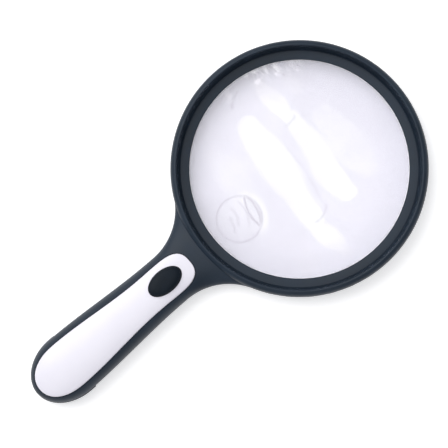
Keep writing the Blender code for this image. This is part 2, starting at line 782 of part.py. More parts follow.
def build_leads(red, black):
    solder_z = BOARD_HIGH + 0.0009
    route = [(0.1217, -0.0100, 0.0120), (0.1195, -0.0085, 0.0115), (0.1175, -0.0065, 0.0100)]
    tube("lead_positive", route + [(0.1160, -0.0050, solder_z)], LEAD_RADIUS, red)
    route = [(s, LEAD_Y, LEAD_Z) for s in (0.1708, 0.1500, 0.1300)]
    route += [(0.1215, LEAD_Y, 0.0148), (0.1180, 0.0062, 0.0120)]
    tube("lead_negative", route + [(0.1160, 0.0050, solder_z)], LEAD_RADIUS, black)
    for name, side, colour in (("led_lead_positive", -1, red), ("led_lead_negative", 1, black)):
        route = [(0.0945, 0.0040 * side, solder_z), (0.0900, 0.0045 * side, 0.0106)]
        route += [(0.0850, 0.0035 * side, 0.0112), (0.0785, 0.0030 * side, 0.0103)]
        tube(name, route, LEAD_RADIUS, colour)


def build_screws(material):
    head = 0.0023
    length = 0.0088
    for number, (s, y) in enumerate(SCREWS, 1):
        seat = SCREW_SEAT - GAP
        profile = [(0.0, seat - 0.0017), (0.0016, seat - 0.0017), (head, seat - 0.0009), (head, seat),
                   (SHANK_RADIUS, seat), (SHANK_RADIUS, seat + length - 0.001), (0.0, seat + length)]
        bm = bmesh.new()
        revolve(bm, profile, 12, upright(s, y))
        screw = add_object(f"housing_screw_{number}", bm, material)
        bm = bmesh.new()
        deep = seat - 0.0008
        block(bm, (s - 0.0013, y - 0.0003, 0.0), (s + 0.0013, y + 0.0003, deep))
        slot = add_object(f"screw_slot_{number}", bm)
        bm = bmesh.new()
        block(bm, (s - 0.0003, y - 0.0013, 0.0), (s + 0.0003, y + 0.0013, deep))
        join(slot, add_object(f"screw_cross_{number}", bm))
        cut(screw, slot)


def door_section(s):
    """U-shaped slice of the door: outside like the handle's rear, inside clear of the cells."""
    points = []
    steps = 10
    outer = (rear_half_width(s), PARTING_LOW - KEEL_HEIGHT)
    inner = (outer[0] - 0.00105, outer[1] - 0.0015)
    for (half, depth), order in ((outer, range(steps + 1)), (inner, range(steps, -1, -1))):
        level = (PARTING_LOW - DOOR_RIM_Z) / depth
        start = math.asin(level ** (REAR_ROUNDNESS / 2))
        for i in order:
            angle = start + (math.pi - 2 * start) * i / steps
            cosine = math.cos(angle)
            y = half * math.copysign(abs(cosine) ** (2 / REAR_ROUNDNESS), cosine)
            z = PARTING_LOW - depth * math.sin(angle) ** (2 / REAR_ROUNDNESS)
            points.append((HEAD_X + s, y, z))
    return points


def build_battery_door(material):
    """Back cover: a round barrel turns in the housing's edge, and the tail end clips in."""
    bm = bmesh.new()
    start = DOOR_PIVOT_S + 0.0003
    loft(bm, [door_section(s) for s in spread(start, HEEL_S - 0.0005, 6)])
    door = add_object("battery_door", bm, material)
    bm = bmesh.new()
    placement = upright(DOOR_PIVOT_S, -BARREL_HALF, DOOR_PIVOT_Z) @ Matrix.Rotation(-math.pi / 2, 4, "X")
    rod(bm, DOOR_BARREL, 2 * BARREL_HALF, placement, 20)
    join(door, add_object("door_barrel", bm))
    bm = bmesh.new()
    block(bm, (HEEL_S - 0.0020, -0.0040, 0.0015), (HEEL_S - 0.0011, 0.0040, DOOR_RIM_Z))
    join(door, add_object("door_latch", bm))
    bm = bmesh.new()
    for i in range(5):
        s = 0.1630 + 0.0020 * i
        block(bm, (s, -0.0060, -0.001), (s + 0.0009, 0.0060, KEEL_HEIGHT + 0.0005))
    cut(door, add_object("thumb_grooves", bm))
    set_origin(door, (HEAD_X + DOOR_PIVOT_S, 0.0, DOOR_PIVOT_Z))


# ---- assembly -----------------------------------------------------------------------------
def build():
    clear_scene()
    black = finish_material("housing_black", (0.020, 0.024, 0.032), 0.45)
    white = finish_material("panel_white", (0.86, 0.85, 0.90), 0.35)
    clear = finish_material("lens_acrylic", (0.97, 0.97, 1.0), 0.03, 0.0, 1.0)
    film = finish_material("film_clear", (0.92, 0.91, 0.96), 0.25, 0.0, 0.8)
    rubber = finish_material("button_black", (0.030, 0.034, 0.042), 0.50)
    green = finish_material("board_green", (0.03, 0.20, 0.08), 0.50)
    led = finish_material("led_clear", (0.90, 0.92, 0.95), 0.10)
    cell = finish_material("cell_sleeve", (0.20, 0.21, 0.23), 0.35)
    nickel = finish_material("nickel", (0.70, 0.69, 0.66), 0.28, 1.0)
    screw = finish_material("screw_steel", (0.45, 0.45, 0.47), 0.35, 1.0)
    switch = finish_material("switch_grey", (0.10, 0.10, 0.11), 0.50)
    tan = finish_material("resistor_tan", (0.62, 0.47, 0.30), 0.55)
    red_wire = finish_material("lead_red", (0.55, 0.03, 0.03), 0.40)
    black_wire = finish_material("lead_black", (0.02, 0.02, 0.02), 0.40)

    channels = cell_channels()
    build_front_housing(black, channels)
    build_rear_housing(black, channels)
    build_main_lens(clear)
    build_lens_film(film)
    build_handle_panel(white)
    build_switch_button(rubber)
    build_switch(switch, rubber)
    build_boards(green)
    build_leds(led)
    build_resistor(tan)
    build_cells(cell)
    build_springs(nickel)
    build_contacts(nickel)
    build_leads(red_wire, black_wire)
    build_screws(screw)
    build_battery_door(black)


build()
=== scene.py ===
import math
import bmesh
import bpy
from mathutils import Matrix, Vector, noise


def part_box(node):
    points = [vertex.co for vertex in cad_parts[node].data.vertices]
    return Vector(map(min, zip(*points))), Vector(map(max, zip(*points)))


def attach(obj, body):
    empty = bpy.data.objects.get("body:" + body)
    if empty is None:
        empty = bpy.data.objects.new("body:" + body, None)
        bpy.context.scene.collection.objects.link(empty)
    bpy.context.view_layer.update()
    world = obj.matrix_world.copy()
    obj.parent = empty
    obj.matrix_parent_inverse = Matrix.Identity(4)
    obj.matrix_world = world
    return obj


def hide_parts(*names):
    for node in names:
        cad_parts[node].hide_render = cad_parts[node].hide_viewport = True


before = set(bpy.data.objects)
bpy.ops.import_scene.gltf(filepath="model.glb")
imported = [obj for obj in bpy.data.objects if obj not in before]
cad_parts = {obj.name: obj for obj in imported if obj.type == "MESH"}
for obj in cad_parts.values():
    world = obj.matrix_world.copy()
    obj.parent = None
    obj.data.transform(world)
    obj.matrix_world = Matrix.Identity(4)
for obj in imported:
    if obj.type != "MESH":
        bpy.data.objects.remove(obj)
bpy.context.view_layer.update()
mm = 0.001

lensLow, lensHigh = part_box("main_lens")
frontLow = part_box("front_housing")[0]
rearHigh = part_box("rear_housing")[1]
headX = (lensLow.x + lensHigh.x) / 2          # centre of the lens ring
ringRadius = headX - frontLow.x
lensRadius = (lensHigh.x - lensLow.x) / 2
split = rearHigh.z                            # where the two housings meet
splitGap = 0.3 * mm

# the magnifier's outline, measured from the middle of the ring along the handle
form = {
    "neckArc": (100.5 * mm, 53.9 * mm, 38.0 * mm),   # along, aside, radius
    "waist": 15.9 * mm,
    "waistEnd": 104.0 * mm,
    "heel": 19.2 * mm,
    "widest": 179.0 * mm,
    "tail": 25.0 * mm,
    "tailRound": (172.0 * mm, 32.3 * mm, 2.4),       # start, length, power of the rounding
    "neckHeight": 17.0 * mm,
    "shoulderHeight": 21.8 * mm,
    "crownHeight": 22.2 * mm,
    "climb": (76.0 * mm, 110.0 * mm, 150.0 * mm),    # from neck to shoulder, from shoulder to crown
    "keel": 0.9 * mm,
    "heelStart": 175.3 * mm,
    "frontRound": 2.4,
    "rearRound": 4.0,
    "panel": (84.5 * mm, 200.3 * mm),                # where it starts and ends along the handle
    "panelNose": 101.5 * mm,
    "panelNape": 178.0 * mm,
    "panelHalf": 11.1 * mm,
}


def ease(value, start, end):
    u = min(max((value - start) / (end - start), 0.0), 1.0)
    return u * u * (3.0 - 2.0 * u)


def spread(start, end, count):
    return [start + (end - start) * i / (count - 1) for i in range(count)]


def halfWidth(s, grow=0.0):
    along, aside, radius = form["neckArc"]
    touch = along * ringRadius / (ringRadius + radius)
    if s < touch:
        return math.sqrt((ringRadius - 0.3 * mm + grow) ** 2 - s * s)
    if s < along:
        return aside - math.sqrt(radius ** 2 - (along - s) ** 2) + grow
    if s < form["widest"]:
        flare = (form["heel"] - form["waist"]) * ease(s, form["waistEnd"], form["widest"])
        return form["waist"] + flare + grow
    reach = min((s - form["widest"]) / (form["tail"] + grow), 1.0)
    return (form["heel"] + grow) * math.sqrt(1.0 - reach * reach)


def tailFullness(s):
    start, length, power = form["tailRound"]
    u = min(max((s - start) / length, 0.0), 1.0)
    return (1.0 - u ** power) ** (1 / power)


def crownHeight(s):
    start, shoulder, crown = form["climb"]
    rise = (form["shoulderHeight"] - form["neckHeight"]) * ease(s, start, shoulder)
    rise += (form["crownHeight"] - form["shoulderHeight"]) * ease(s, shoulder, crown)
    return split + (form["neckHeight"] + rise - split) * tailFullness(s)


def keelHeight(s):
    low = 0.0 if s > form["heelStart"] else form["keel"]
    return split - (split - low) * tailFullness(s)


def rearHalfWidth(s):
    return halfWidth(s, 0.4 * mm if s > form["heelStart"] else -0.4 * mm)


def surfaceHeight(s, y):
    across = min(abs(y) / halfWidth(s), 1.0)
    n = form["frontRound"]
    return split + (crownHeight(s) - split) * (1.0 - across ** n) ** (1 / n)


def panelHalfWidth(s, grow=0.0):
    nose, nape, half = form["panelNose"], form["panelNape"], form["panelHalf"]
    start, end = form["panel"]
    if s < nose:
        reach = min((nose - s) / (nose - start + grow), 1.0)
        return (half + grow) * (1.0 - reach ** 2.9) ** (1 / 2.9)
    # a slight waist behind the button, then wider towards the tail
    width = half - 0.2 * mm * ease(s, nose, 112 * mm) + 3.65 * mm * ease(s, 116 * mm, nape)
    reach = min(max((s - nape) / (end - nape + grow), 0.0), 1.0)
    return (width + grow) * (1.0 - reach ** 2.2) ** (1 / 2.2)


# mesh tools
def finishMesh(name, bm, sharp=35, doubles=1e-6, recalc=True):
    bmesh.ops.remove_doubles(bm, verts=bm.verts, dist=doubles)
    if recalc:
        bmesh.ops.recalc_face_normals(bm, faces=bm.faces)
    mesh = bpy.data.meshes.new(name)
    bm.to_mesh(mesh)
    bm.free()
    mesh.shade_smooth()
    mesh.set_sharp_from_angle(angle=math.radians(sharp))
    piece = bpy.data.objects.new(name, mesh)
    bpy.context.scene.collection.objects.link(piece)
    return piece


def applyAll(piece, sharp=35):
    bpy.context.view_layer.update()
    deps = bpy.context.evaluated_depsgraph_get()
    mesh = bpy.data.meshes.new_from_object(piece.evaluated_get(deps))
    piece.modifiers.clear()
    old = piece.data
    piece.data = mesh
    bpy.data.meshes.remove(old)
    mesh.shade_smooth()
    mesh.set_sharp_from_angle(angle=math.radians(sharp))


def shape(piece, tools, operation="DIFFERENCE", sharp=35):
    for tool in tools:
        modifier = piece.modifiers.new(tool.name, "BOOLEAN")
        modifier.operation = operation
        modifier.solver = "EXACT"
        modifier.object = tool
    applyAll(piece, sharp)


def dropTools(tools):
    for tool in tools:
        bpy.data.objects.remove(tool)


def skin(bm, sections):
    loops = []
    for outline in sections:
        verts = [bm.verts.new(point) for point in outline]
        loops.append([bm.edges.new(pair) for pair in zip(verts, verts[1:] + verts[:1])])
    for near, far in zip(loops, loops[1:]):
        bmesh.ops.bridge_loops(bm, edges=near + far)
    for end in (loops[0], loops[-1]):
        bmesh.ops.edgeloop_fill(bm, edges=end)


def rounded(corners, steps=5):
    # each corner is (radius from the axis, height, fillet), all in mm
    points = []
    count = len(corners)
    for i, (r, z, fillet) in enumerate(corners):
        here = Vector((r, z)) * mm
        if fillet == 0:
            points.append(here)
            continue
        before = Vector(corners[i - 1][:2]) * mm
        after = Vector(corners[(i + 1) % count][:2]) * mm
        inward = (before - here).normalized()
        outward = (after - here).normalized()
        reach = min(fillet * mm, (before - here).length * 0.49, (after - here).length * 0.49)
        a, b = here + inward * reach, here + outward * reach
        for k in range(steps + 1):
            t = k / steps
            points.append(a * (1 - t) ** 2 + here * 2 * t * (1 - t) + b * t * t)
    return points


def lathe(bm, points, steps, place, closed=True):
    start = len(bm.verts)
    verts = [bm.verts.new((p[0], 0.0, p[1])) for p in points]
    edges = [bm.edges.new(pair) for pair in zip(verts, verts[1:])]
    if closed:
        edges.append(bm.edges.new((verts[-1], verts[0])))
    bmesh.ops.spin(bm, geom=verts + edges, cent=(0, 0, 0), axis=(0, 0, 1), angle=2 * math.pi,
                   steps=steps, use_merge=True)
    bm.verts.ensure_lookup_table()
    bmesh.ops.transform(bm, matrix=place, verts=bm.verts[start:])


def at(s, y=0.0, z=0.0):
    return Matrix.Translation((headX + s, y, z))


def alongX(s, y, z):
    return at(s, y, z) @ Matrix.Rotation(math.pi / 2, 4, "Y")


def acrossY(s, y, z):
    return at(s, y, z) @ Matrix.Rotation(-math.pi / 2, 4, "X")


def rod(bm, radius, length, place, steps=32):
    middle = place @ Matrix.Translation((0, 0, length / 2))
    bmesh.ops.create_cone(bm, cap_ends=True, segments=steps, radius1=radius, radius2=radius,
                          depth=length, matrix=middle)


def block(bm, low, high):
    size = [b - a for a, b in zip(low, high)]
    centre = [(a + b) / 2 for a, b in zip(low, high)]
    bmesh.ops.create_cube(bm, size=1.0, matrix=at(*centre) @ Matrix.Diagonal((*size, 1.0)))


def tool(name, draw):
    bm = bmesh.new()
    draw(bm)
    return finishMesh(name, bm)


def arch(s, half, base, top, power, steps, skirt=0.0, lip=0.0):
    # lip eases the edge between the sides and the flat base
    points = []
    for i in range(steps + 1):
        angle = math.pi * i / steps
        c = math.cos(angle)
        y = half * math.copysign(abs(c) ** (2 / power), c)
        points.append((headX + s, y, base + (top - base) * max(math.sin(angle), 0.0) ** (2 / power)))
    if lip:
        inset = min(lip, 0.2 * half)
        rise = math.copysign(min(lip, 0.1 * abs(top - base)), top - base)
        ends = [(1.0, 0.0), (0.3, 0.3), (0.0, 1.0)]
        first = [(headX + s, half - a * inset, base + b * rise) for a, b in ends]
        last = [(x, -y, z) for x, y, z in reversed(first)]
        points = first + points[1:-1] + last
    if skirt:
        points.append((headX + s, -half, base - skirt))
        points.append((headX + s, half, base - skirt))
    return points


def setPiece(piece, body, nodes, material):
    piece.data.materials.clear()
    piece.data.materials.append(material)
    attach(piece, body)
    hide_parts(*nodes)
    return piece


# material tools
class Paint:
    def __init__(self, name):
        self.material = bpy.data.materials.new(name)
        self.material.use_nodes = True
        self.nodes = self.material.node_tree.nodes
        self.links = self.material.node_tree.links
        self.shader = self.nodes["Principled BSDF"]
        self.output = self.nodes["Material Output"]
        self.place = self.nodes.new("ShaderNodeTexCoord").outputs["Object"]

    def node(self, kind, values=None, **settings):
        made = self.nodes.new("ShaderNode" + kind)
        for key, value in settings.items():
            setattr(made, key, value)
        for key, value in (values or {}).items():
            if isinstance(value, bpy.types.NodeSocket):
                self.links.new(value, made.inputs[key])
            else:
                made.inputs[key].default_value = value
        return made

    def set(self, **values):
        for key, value in values.items():
            self.shader.inputs[key.replace("_", " ")].default_value = value

    def feed(self, socket, source):
        self.links.new(source, self.shader.inputs[socket])

    def grain(self, scale, detail=3.0, roughness=0.55, stretch=None):
        place = self.place
        if stretch:
            place = self.node("Mapping", {"Vector": place, "Scale": stretch}).outputs["Vector"]
        return self.node("TexNoise", {"Vector": place, "Scale": scale, "Detail": detail,
                                      "Roughness": roughness}).outputs["Fac"]

    def remap(self, source, low, high, outLow, outHigh):
        return self.node("MapRange", {"Value": source, "From Min": low, "From Max": high,
                                      "To Min": outLow, "To Max": outHigh}).outputs["Result"]

    def blend(self, factor, first, second):
        made = self.node("Mix", data_type="RGBA")
        for index, value in ((0, factor), (6, first), (7, second)):
            if isinstance(value, bpy.types.NodeSocket):
                self.links.new(value, made.inputs[index])
            else:
                made.inputs[index].default_value = value
        return made.outputs[2]

    def bump(self, source, strength, distance):
        made = self.node("Bump", {"Strength": strength, "Distance": distance, "Height": source})
        self.links.new(made.outputs["Normal"], self.shader.inputs["Normal"])
        return made


def mouldedPlastic(name, look):
    paint = Paint(name)
    paint.set(IOR=look.get("ior", 1.46))
    cloud = paint.grain(look["cloudScale"], 4.0)
    fleck = paint.grain(look["fleckScale"], 2.0)
    tone = paint.blend(paint.remap(cloud, 0.3, 0.7, 0.0, 1.0), look["dark"], look["light"])
    tone = paint.blend(paint.remap(fleck, 0.66, 0.76, 0.0, look["fleckShare"]), tone, look["dust"])
    paint.feed("Base Color", tone)
    rough = paint.remap(cloud, 0.3, 0.7, look["roughLow"], look["roughHigh"])
    paint.feed("Roughness", rough)
    texture = paint.grain(look["textureScale"], 3.0, 0.6)
    paint.bump(texture, look["textureStrength"], look["textureDepth"])
    return paint.material


blackLook = {
    "dark": (0.009, 0.018, 0.031, 1), "light": (0.015, 0.027, 0.045, 1), "dust": (0.040, 0.052, 0.070, 1),
    "ior": 1.37,
    "cloudScale": 55.0, "fleckScale": 2600.0, "fleckShare": 0.35, "roughLow": 0.44, "roughHigh": 0.54,
    "textureScale": 1900.0, "textureStrength": 0.28, "textureDepth": 0.00012,
}
whiteLook = {
    "dark": (0.84, 0.82, 0.90, 1), "light": (0.885, 0.865, 0.94, 1), "dust": (0.78, 0.765, 0.84, 1),
    "cloudScale": 35.0, "fleckScale": 1500.0, "fleckShare": 0.08, "roughLow": 0.30, "roughHigh": 0.40,
    "textureScale": 900.0, "textureStrength": 0.06, "textureDepth": 0.00008,
}
buttonLook = {
    "dark": (0.003, 0.007, 0.012, 1), "light": (0.007, 0.012, 0.020, 1), "dust": (0.03, 0.037, 0.048, 1),
    "ior": 1.24,
    "cloudScale": 160.0, "fleckScale": 3200.0, "fleckShare": 0.4, "roughLow": 0.46, "roughHigh": 0.58,
    "textureScale": 2600.0, "textureStrength": 0.35, "textureDepth": 0.0001,
}
housingBlack = mouldedPlastic("housingBlack", blackLook)
panelWhite = mouldedPlastic("panelWhite", whiteLook)
buttonBlack = mouldedPlastic("buttonBlack", buttonLook)
print("plastics mixed")


def letsLampsThrough(paint, shaderSocket, tint):
    # clear plastic doesn't cast a dark shadow
    clear = paint.node("BsdfTransparent", {"Color": tint}).outputs["BSDF"]
    shadow = paint.node("LightPath").outputs["Is Shadow Ray"]
    both = paint.node("MixShader", {"Fac": shadow})
    paint.links.new(shaderSocket, both.inputs[1])
    paint.links.new(clear, both.inputs[2])
    paint.links.new(both.outputs["Shader"], paint.output.inputs["Surface"])


def clearAcrylic():
    paint = Paint("clearAcrylic")
    paint.set(IOR=1.49, Transmission_Weight=1.0)
    paint.shader.inputs["Base Color"].default_value = (0.985, 0.985, 0.995, 1)
    haze = paint.grain(140.0, 3.0)
    paint.feed("Roughness", paint.remap(haze, 0.4, 0.8, 0.0, 0.035))
    scuff = paint.grain(160.0, 2.0, 0.5, (1.0, 5.0, 1.0))
    paint.bump(scuff, 0.02, 0.00003)
    letsLampsThrough(paint, paint.shader.outputs["BSDF"], (0.97, 0.97, 0.98, 1))
    return paint.material


# painted light on the film: the rim tint is painted shade at its edge, the brightest tint a painted highlight
# on the folds and round the spot, the crease tint painted shade, and the sparkle painted glints on the
# crumpled edge
filmLook = {
    "rim": (0.785, 0.78, 0.808, 1), "haze": (0.785, 0.778, 0.803, 1), "foldHighlight": (0.825, 0.822, 0.83, 1),
    "paintedCreaseShade": (0.65, 0.64, 0.665, 1), "sparkle": (0.96, 0.96, 0.96, 1), "veil": 0.09, "roughness": 0.24,
}


def milkyFilm():
    # the lightness attribute is painted light: lighter along the folds and inside the spot, a painted
    # highlight round the spot, painted shade at the rim; crease: sharp lines, darkened as painted shade;
    # crinkle: where its edge is crumpled, lightened there by painted glints
    paint = Paint("milkyFilm")
    paint.set(IOR=1.45, Roughness=filmLook["roughness"])
    contact = paint.node("Attribute", attribute_name="contact").outputs["Fac"]
    crease = paint.node("Attribute", attribute_name="crease").outputs["Fac"]
    crinkle = paint.node("Attribute", attribute_name="crinkle").outputs["Fac"]
    clouds = paint.grain(30.0, 4.0, 0.6)
    drift = paint.remap(clouds, 0.3, 0.7, -0.07, 0.07)
    depth = paint.node("Math", {0: contact, 1: drift}, operation="ADD").outputs["Value"]
    ramp = paint.node("ValToRGB", {"Fac": depth})
    ramp.color_ramp.interpolation = "EASE"
    ramp.color_ramp.elements[0].color = filmLook["rim"]
    ramp.color_ramp.elements[1].color = filmLook["foldHighlight"]
    ramp.color_ramp.elements.new(0.45).color = filmLook["haze"]
    # painted shade: the film is darkened along the creases and round the spot's edge
    tint = paint.blend(crease, ramp.outputs["Color"], filmLook["paintedCreaseShade"])
    # painted glints: small facets on the crumpled edge are lightened
    fine = paint.grain(330.0, 3.0, 0.6, (1.0, 0.45, 1.0))
    facets = paint.remap(fine, 0.40, 0.60, 0.0, 1.0)
    glintFacets = paint.node("Math", {0: crinkle, 1: facets}, operation="MULTIPLY").outputs["Value"]
    tint = paint.blend(glintFacets, tint, filmLook["sparkle"])
    see = paint.node("BsdfTransparent", {"Color": tint})
    # painted highlight: the veil is whiter where the film is painted lighter
    paint.feed("Base Color", paint.blend(contact, (0.86, 0.85, 0.93, 1), (1.0, 1.0, 1.0, 1)))
    ripple = paint.grain(150.0, 3.0, 0.5)
    bumpy = paint.node("Math", {0: crinkle, 1: facets, 2: ripple}, operation="MULTIPLY_ADD").outputs["Value"]
    paint.bump(bumpy, 0.35, 0.0003)
    sheet = paint.node("MixShader", {"Fac": filmLook["veil"]})
    paint.links.new(see.outputs["BSDF"], sheet.inputs[1])
    paint.links.new(paint.shader.outputs["BSDF"], sheet.inputs[2])
    letsLampsThrough(paint, sheet.outputs["Shader"], (0.97, 0.97, 0.98, 1))
    return paint.material


# front housing: bezel ring, neck and crowned handle
front = {
    "ringSteps": 288,
    # each corner of the ring's section is (radius, height, rounding)
    "profile": [
        (65.0, 9.6, 0.12), (67.4, 9.3, 0), (69.0, 8.8, 0.1), (69.0, 9.8, 0), (76.0, 9.8, 0.25),
        (76.0, 15.2, 1.8), (75.0, 17.6, 1.4), (73.0, 18.8, 1.1), (72.0, 18.5, 0.5), (70.95, 11.9, 0.6),
        (70.75, 11.0, 0.1), (70.5, 10.85, 0.05), (70.3, 11.15, 0.12), (65.0, 10.6, 0.2)],
    "coreRadius": 72.6, "neckStop": 73.9, "roofDepth": 3.1,
    "walls": [(122.6, 124.2), (134.2, 135.8), (149.2, 150.8), (164.2, 165.8), (174.7, 176.3)],
    "pilot": 1.35, "bossRadius": 2.9, "bossFoot": 9.85, "buttonOpening": (11.55, 6.95),
}


def handleStations(end):
    neck = spread(62 * mm, 101 * mm, 34)
    middle = spread(103 * mm, form["heelStart"] - 0.05 * mm, 28)
    tail = [form["heelStart"] + 0.05 * mm]
    last = 176 * mm
    tail += [last + (end - last) * math.sin(math.radians(4.5 * i)) for i in range(1, 21)]
    return neck + middle + tail


def hollowHalf(s, outline):
    wall = 1.9 * mm - 0.6 * mm * (ease(s, 112 * mm, 122 * mm) - ease(s, 176 * mm, 186 * mm))
    return min(outline(s) - wall, 24 * mm)


def hollowTool(name, outline, base, reach, power, skirt, walls):
    stations = spread(62 * mm, 98 * mm, 12) + spread(104 * mm, 194 * mm, 20)
    sections = [arch(s, hollowHalf(s, outline), base, reach(s), power, 24, skirt) for s in stations]
    body = tool(name, lambda bm: skin(bm, sections))
    stop = tool(name + "Stop", lambda bm: rod(bm, front["neckStop"] * mm, 0.04, at(0, 0, -0.01), 192))
    bars = tool(name + "Bars", lambda bm: [
        block(bm, (a * mm, -0.03, -0.01), (b * mm, 0.03, 0.04)) for a, b in walls])
    shape(body, [stop, bars])
    dropTools([stop, bars])
    return body


# screws: along, aside, top of the boss that holds each one
screws = {"places": [(88, -12, 14.7), (88, 12, 14.7), (185, -8.5, 18.3), (185, 8.5, 18.3)], "seat": 4.0,
          "head": 2.3, "shank": 1.05, "length": 8.8}
panelPegs = (119, 186)
buttonAt = 103.0
buttonSlope = 0.14                            # the button and its opening follow the handle's climb
cells = {"radius": 5.25, "places": [(-10.0, 8.2), (0.0, 12.3), (10.0, 8.2)], "from": 124.2, "to": 174.7}


def channelTools():
    made = []
    length = (cells["to"] - cells["from"]) * mm
    for y, z in cells["places"]:
        place = alongX(cells["from"] * mm, y * mm, z * mm)
        made.append(tool("channel", lambda bm: rod(bm, (cells["radius"] + 0.3) * mm, length, place, 64)))
    return made


def ovalSections(levels, steps=96):
    # levels are (length, width, height, slope, shift) of each ring, in mm but for the slope
    sections = []
    for length, width, height, slope, shift in levels:
        ring = []
        for i in range(steps):
            angle = 2 * math.pi * i / steps
            x = length * math.cos(angle) + shift
            y = width * math.sin(angle)
            ring.append(((x + buttonAt) * mm + headX, y * mm, (height + slope * x) * mm))
        sections.append(ring)
    return sections


def panelSkin(bm, grow, above, below, rim):
    first, last = form["panel"][0] - grow, form["panel"][1] + grow
    nose, nape = form["panelNose"], form["panelNape"]
    noseAngles = (4, 8, 13, 19, 26, 34, 43, 53, 64, 76)
    tailAngles = (8, 16, 24, 32, 40, 48, 55, 62, 68, 74, 79, 83, 86.5)
    stations = [first + 17.4 * mm * (1 - math.cos(math.radians(a))) for a in noseAngles]
    stations += spread(nose, nape - 0.5 * mm, 34)
    stations += [nape + (last - nape) * math.sin(math.radians(a)) for a in tailAngles]
    columns = 28
    sections = []
    for s in stations:
        half = panelHalfWidth(s, grow)
        top = []
        for k in range(5):                       # rounded shoulder of the edge
            a = math.radians(22.5 * k)
            top.append((-half + rim * (1 - math.cos(a)), -rim * (1 - math.sin(a))))
        for i in range(1, columns):
            top.append((-half + rim + (2 * half - 2 * rim) * i / columns, 0.0))
        top += [(-y, drop) for y, drop in reversed(top[:5])]
        upper = [(headX + s, y, surfaceHeight(s, y) + above + drop) for y, drop in top]
        lower = [(headX + s, y, surfaceHeight(s, y) - below) for y, drop in reversed(top)]
        sections.append(upper + lower)
    skin(bm, sections)


def makeFrontHousing(channels):
    housing = tool("frontShell", lambda bm: lathe(bm, rounded(front["profile"]), front["ringSteps"], at(0)))
    sections = []
    for s in handleStations(203.7 * mm):
        sections.append(arch(s, halfWidth(s), split + splitGap, crownHeight(s), form["frontRound"], 64,
                             lip=0.3 * mm))
    body = tool("frontBody", lambda bm: skin(bm, sections))
    core = tool("frontCore", lambda bm: rod(bm, front["coreRadius"] * mm, 0.04, at(0, 0, -0.01), 288))
    shape(body, [core])
    shape(housing, [body], "UNION")
    hollow = hollowTool("frontHollow", halfWidth, split + splitGap,
                        lambda s: crownHeight(s) - front["roofDepth"] * mm, form["frontRound"], 2 * mm,
                        front["walls"])
    lead = alongX(118 * mm, 7.2 * mm, 15.2 * mm)
    notch = tool("leadNotch", lambda bm: rod(bm, 1.1 * mm, 62 * mm, lead, 24))
    shape(housing, [hollow] + channels + [notch])
    foot = front["bossFoot"]
    bosses = tool("bosses", lambda bm: [
        rod(bm, front["bossRadius"] * mm, (top - foot) * mm, at(s * mm, y * mm, foot * mm), 40)
        for s, y, top in screws["places"]])
    shape(housing, [bosses], "UNION")
    pilots = tool("pilots", lambda bm: [
        rod(bm, front["pilot"] * mm, 6 * mm, at(s * mm, y * mm, 7.5 * mm), 32)
        for s, y, top in screws["places"]])
    pegHoles = tool("pegHoles", lambda bm: [
        rod(bm, 1.5 * mm, surfaceHeight(s * mm, 0) - 16.5 * mm, at(s * mm, 0, 16 * mm), 32)
        for s in panelPegs])
    shape(housing, [pilots, pegHoles])
    pocket = tool("pocket", lambda bm: panelSkin(bm, 0.35 * mm, 4 * mm, 1.6 * mm, 0.0001 * mm))
    rim = surfaceHeight(buttonAt * mm, 0) / mm
    length, width = front["buttonOpening"]
    hole = tool("buttonHole", lambda bm: skin(bm, ovalSections([
        (length, width, 11, 0, 0), (length, width, rim + 6, 0, 0)])))
    shape(housing, [pocket, hole])
    dropTools([body, core, hollow, notch, bosses, pilots, pegHoles, pocket, hole])
    setPiece(housing, "root", ["front_housing"], housingBlack)
    print("front housing made", len(housing.data.polygons))


# rear housing: the ring's back half with its grip pads, and the handle's keel and heel
rear = {
    "ringSteps": 304, "gripCount": 38, "plainAngle": 34.0, "padRise": 0.45,
    "profile": [
        (65.4, 5.3, 0.15), (69.3, 5.8, 0), (69.3, 9.5, 0.1), (75.4, 9.5, 0.15), (75.5, 8.8, 0),
        (74.9, 3.0, 0), (73.8, 1.0, 0.8), (71.8, 0.0, 0.5), (67.6, 0.0, 0.5), (65.4, 1.6, 0.5)],
    "ledAngles": (-14, -5, 5, 14), "ledRing": 77.0, "boardPins": (95.5, 114.5),
}


def rearRing(bm):
    lathe(bm, rounded(rear["profile"]), rear["ringSteps"], at(0))
    bmesh.ops.recalc_face_normals(bm, faces=bm.faces)
    pads = []
    for face in bm.faces:
        centre = face.calc_center_median()
        angle = math.degrees(math.atan2(centre.y, centre.x - headX))
        onWall = 4 * mm < centre.z < 8 * mm and math.hypot(centre.x - headX, centre.y) > 74 * mm
        odd = int((angle % 360) / (180 / rear["gripCount"])) % 2 == 1
        if onWall and odd and abs(angle) > rear["plainAngle"]:
            pads.append(face)
    for thickness, share in ((0.5, 0.15), (0.25, 0.75), (0.35, 0.5), (0.3, 0.15)):
        bmesh.ops.inset_region(bm, faces=pads, thickness=thickness * mm, depth=share * rear["padRise"] * mm,
                               use_even_offset=True)


def doorOpening():
    opening = tool("opening", lambda bm: block(bm, (122.3 * mm, -0.03, -0.002), (175.1 * mm, 0.03, 4.9 * mm)))
    barrel = tool("barrelRoom", lambda bm: block(
        bm, (120.6 * mm, -13 * mm, -1 * mm), (124 * mm, 13 * mm, 4 * mm)))
    shape(opening, [barrel], "UNION")
    dropTools([barrel])
    return opening


def rearBosses(bm):
    for s, y, top in screws["places"]:
        rod(bm, 3.6 * mm, 7.65 * mm, at(s * mm, y * mm, 1.8 * mm), 48)
    for s in rear["boardPins"]:
        rod(bm, 1.8 * mm, 4.6 * mm, at(s * mm, 0, 1.8 * mm), 32)
        rod(bm, 0.8 * mm, 4.0 * mm, at(s * mm, 0, 4.6 * mm), 24)


